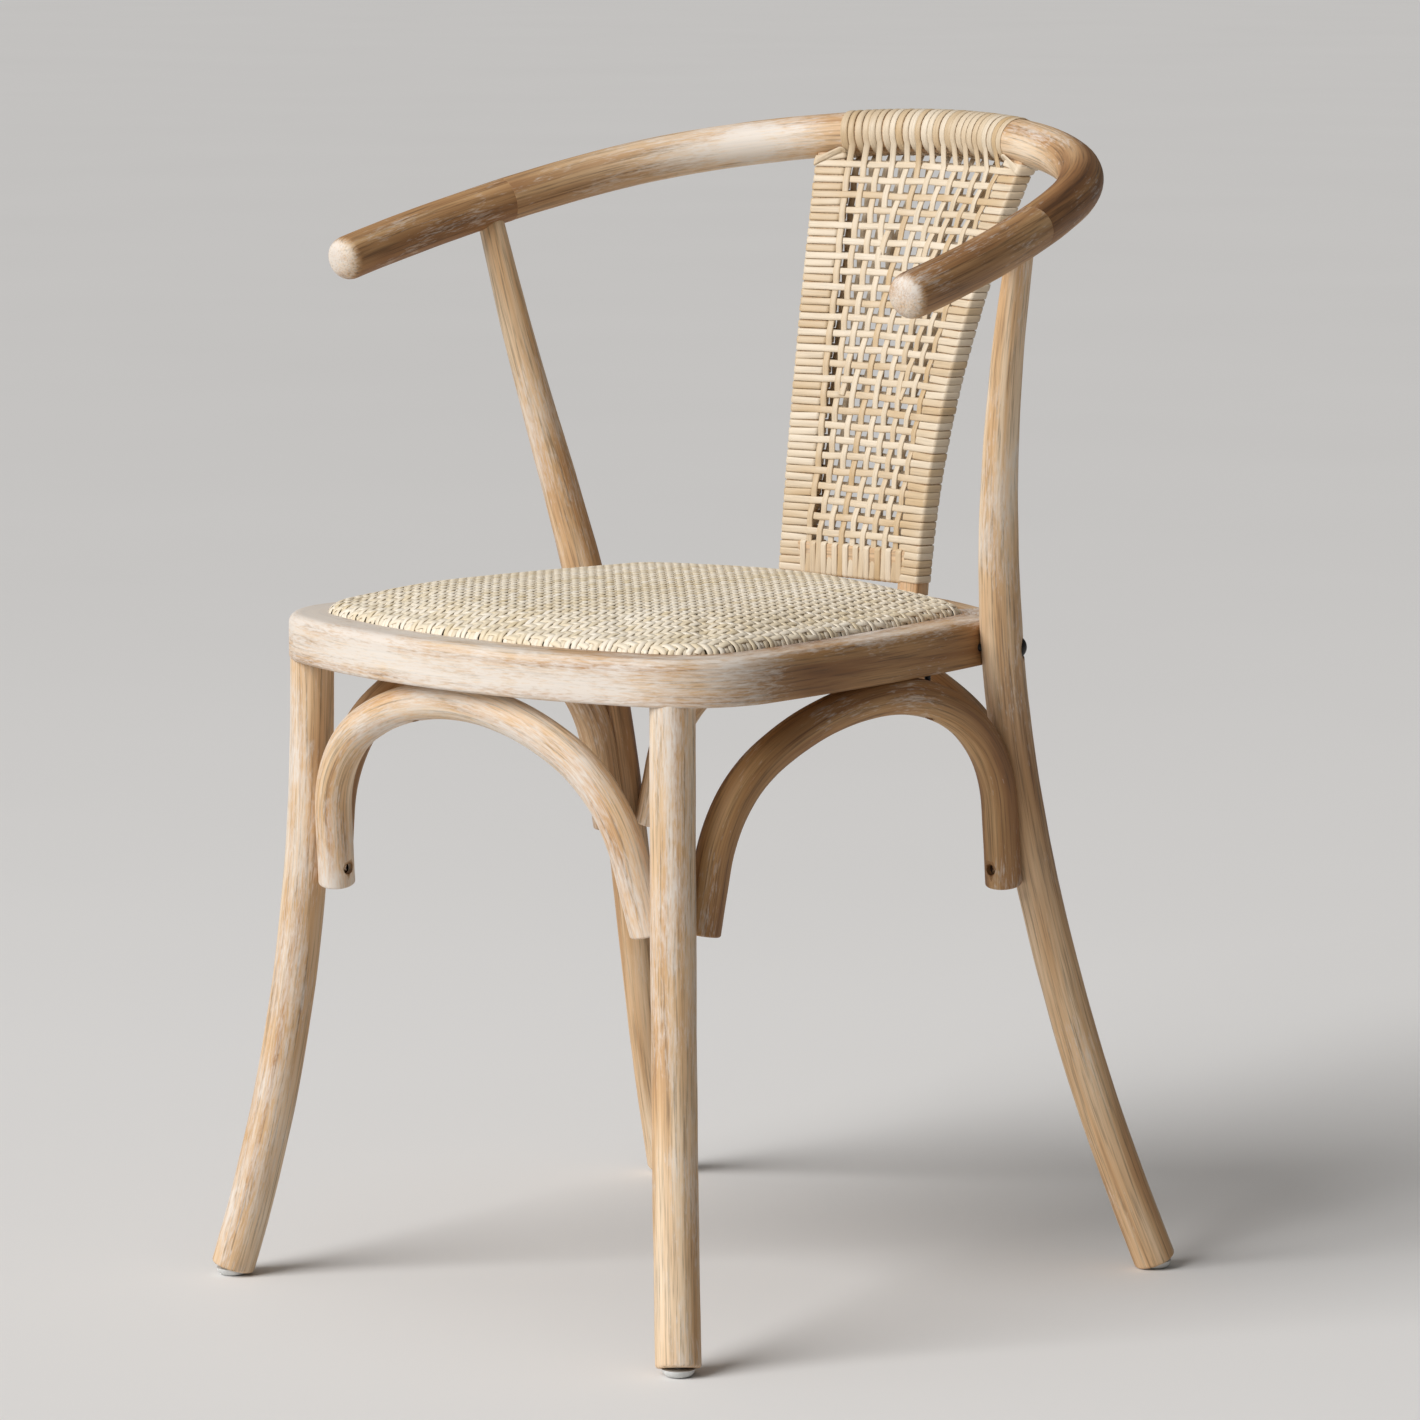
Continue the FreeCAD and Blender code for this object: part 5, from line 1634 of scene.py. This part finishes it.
def twillPoint(axis, index, run):
    # a strand's point and its facing, how high it rides, and how far it may follow the pad
    length, phase = twill["handWave"]
    sway = index * twill["pitch"] + twill["hand"] * math.sin(run / length + index * phase)
    x, y = (run, sway) if axis == 0 else (sway, run)
    wave = math.sin(math.pi / 2 * (run / twill["pitch"] - index) + math.pi / 4)
    wave = max(-1.0, min(1.0, twill["flatTop"] * wave)) * (1 if axis == 0 else -1)
    hold = ramp(coverShare(x, y), twill["grip"][1], twill["grip"][0])
    out = upwards
    if hold < 1:
        nudge = twill["nudge"]
        fallX = coverHeight(x + nudge, y) - coverHeight(x - nudge, y)
        fallY = coverHeight(x, y + nudge) - coverHeight(x, y - nudge)
        out = Vector((-fallX, -fallY, 2 * nudge)).normalized()
    spot = Vector((x, y, coverHeight(x, y))) + out * (twill["base"] + wave * twill["lift"])
    return (spot, out), wave, hold


for axis, pieceName in ((0, "seatTwillAcross"), (1, "seatTwillAlong")):
    lines = StripLines()
    overs, grips = [], []
    lowest = min(p[1 - axis] for p in coverEdge)
    highest = max(p[1 - axis] for p in coverEdge)
    for index in range(int(lowest // twill["pitch"]) + 1, int(highest // twill["pitch"]) + 1):
        level = index * twill["pitch"]
        if not lowest + twill["margin"] < level < highest - twill["margin"]:
            continue
        made = [twillPoint(axis, index, run) for run in strandStops(*crossings(axis, level))]
        overs += [wave for pair, wave, hold in made]
        grips += [hold for pair, wave, hold in made]
        lines.add([pair for pair, wave, hold in made], False)
    cover = lines.make(pieceName, twill, twill["strip"], twillStrands, {
        "Pad": seatPad, "Base": twill["base"] * mm, "Lift": twill["lift"] * mm, "Material": seatRattan},
        [("over", overs), ("grip", grips)])
    place(cover, "rattan_cover")
print("seat cover made")


# fittings that keep their own solids

fittings = {
    "foot_glide_front_left": nylon, "foot_glide_front_right": nylon,
    "foot_glide_rear_left": nylon, "foot_glide_rear_right": nylon,
    "leg_bolts": blackSteel, "leg_bolt_washers": zincSteel, "leg_bolt_nuts": zincSteel,
    "rail_splice_dowels": beech, "seat_frame_dowels": beech, "seat_board": plywood,
}
for nodeName, material in fittings.items():
    slots = cad[nodeName].material_slots
    if not slots:
        cad[nodeName].data.materials.append(material)
    for slot in slots:
        slot.material = material
print("fittings finished")


# floor

floorSetup = {
    "half": 60000.0, "drop": 0.2, "clouds": 900.0, "rough": 0.8, "dark": "#E9E7E5", "light": "#EAE8E6",
}
half = floorSetup["half"]
floor = newObject("floor", [(x, y, -floorSetup["drop"]) for x, y in (
    (-half, -half), (half, -half), (half, half), (-half, half))], (), [(0, 1, 2, 3)])
floor.data.materials.append(plainFinish("paintedFloor", floorSetup["dark"], floorSetup["light"],
                                        floorSetup["clouds"], floorSetup["rough"]))
print("floor laid")
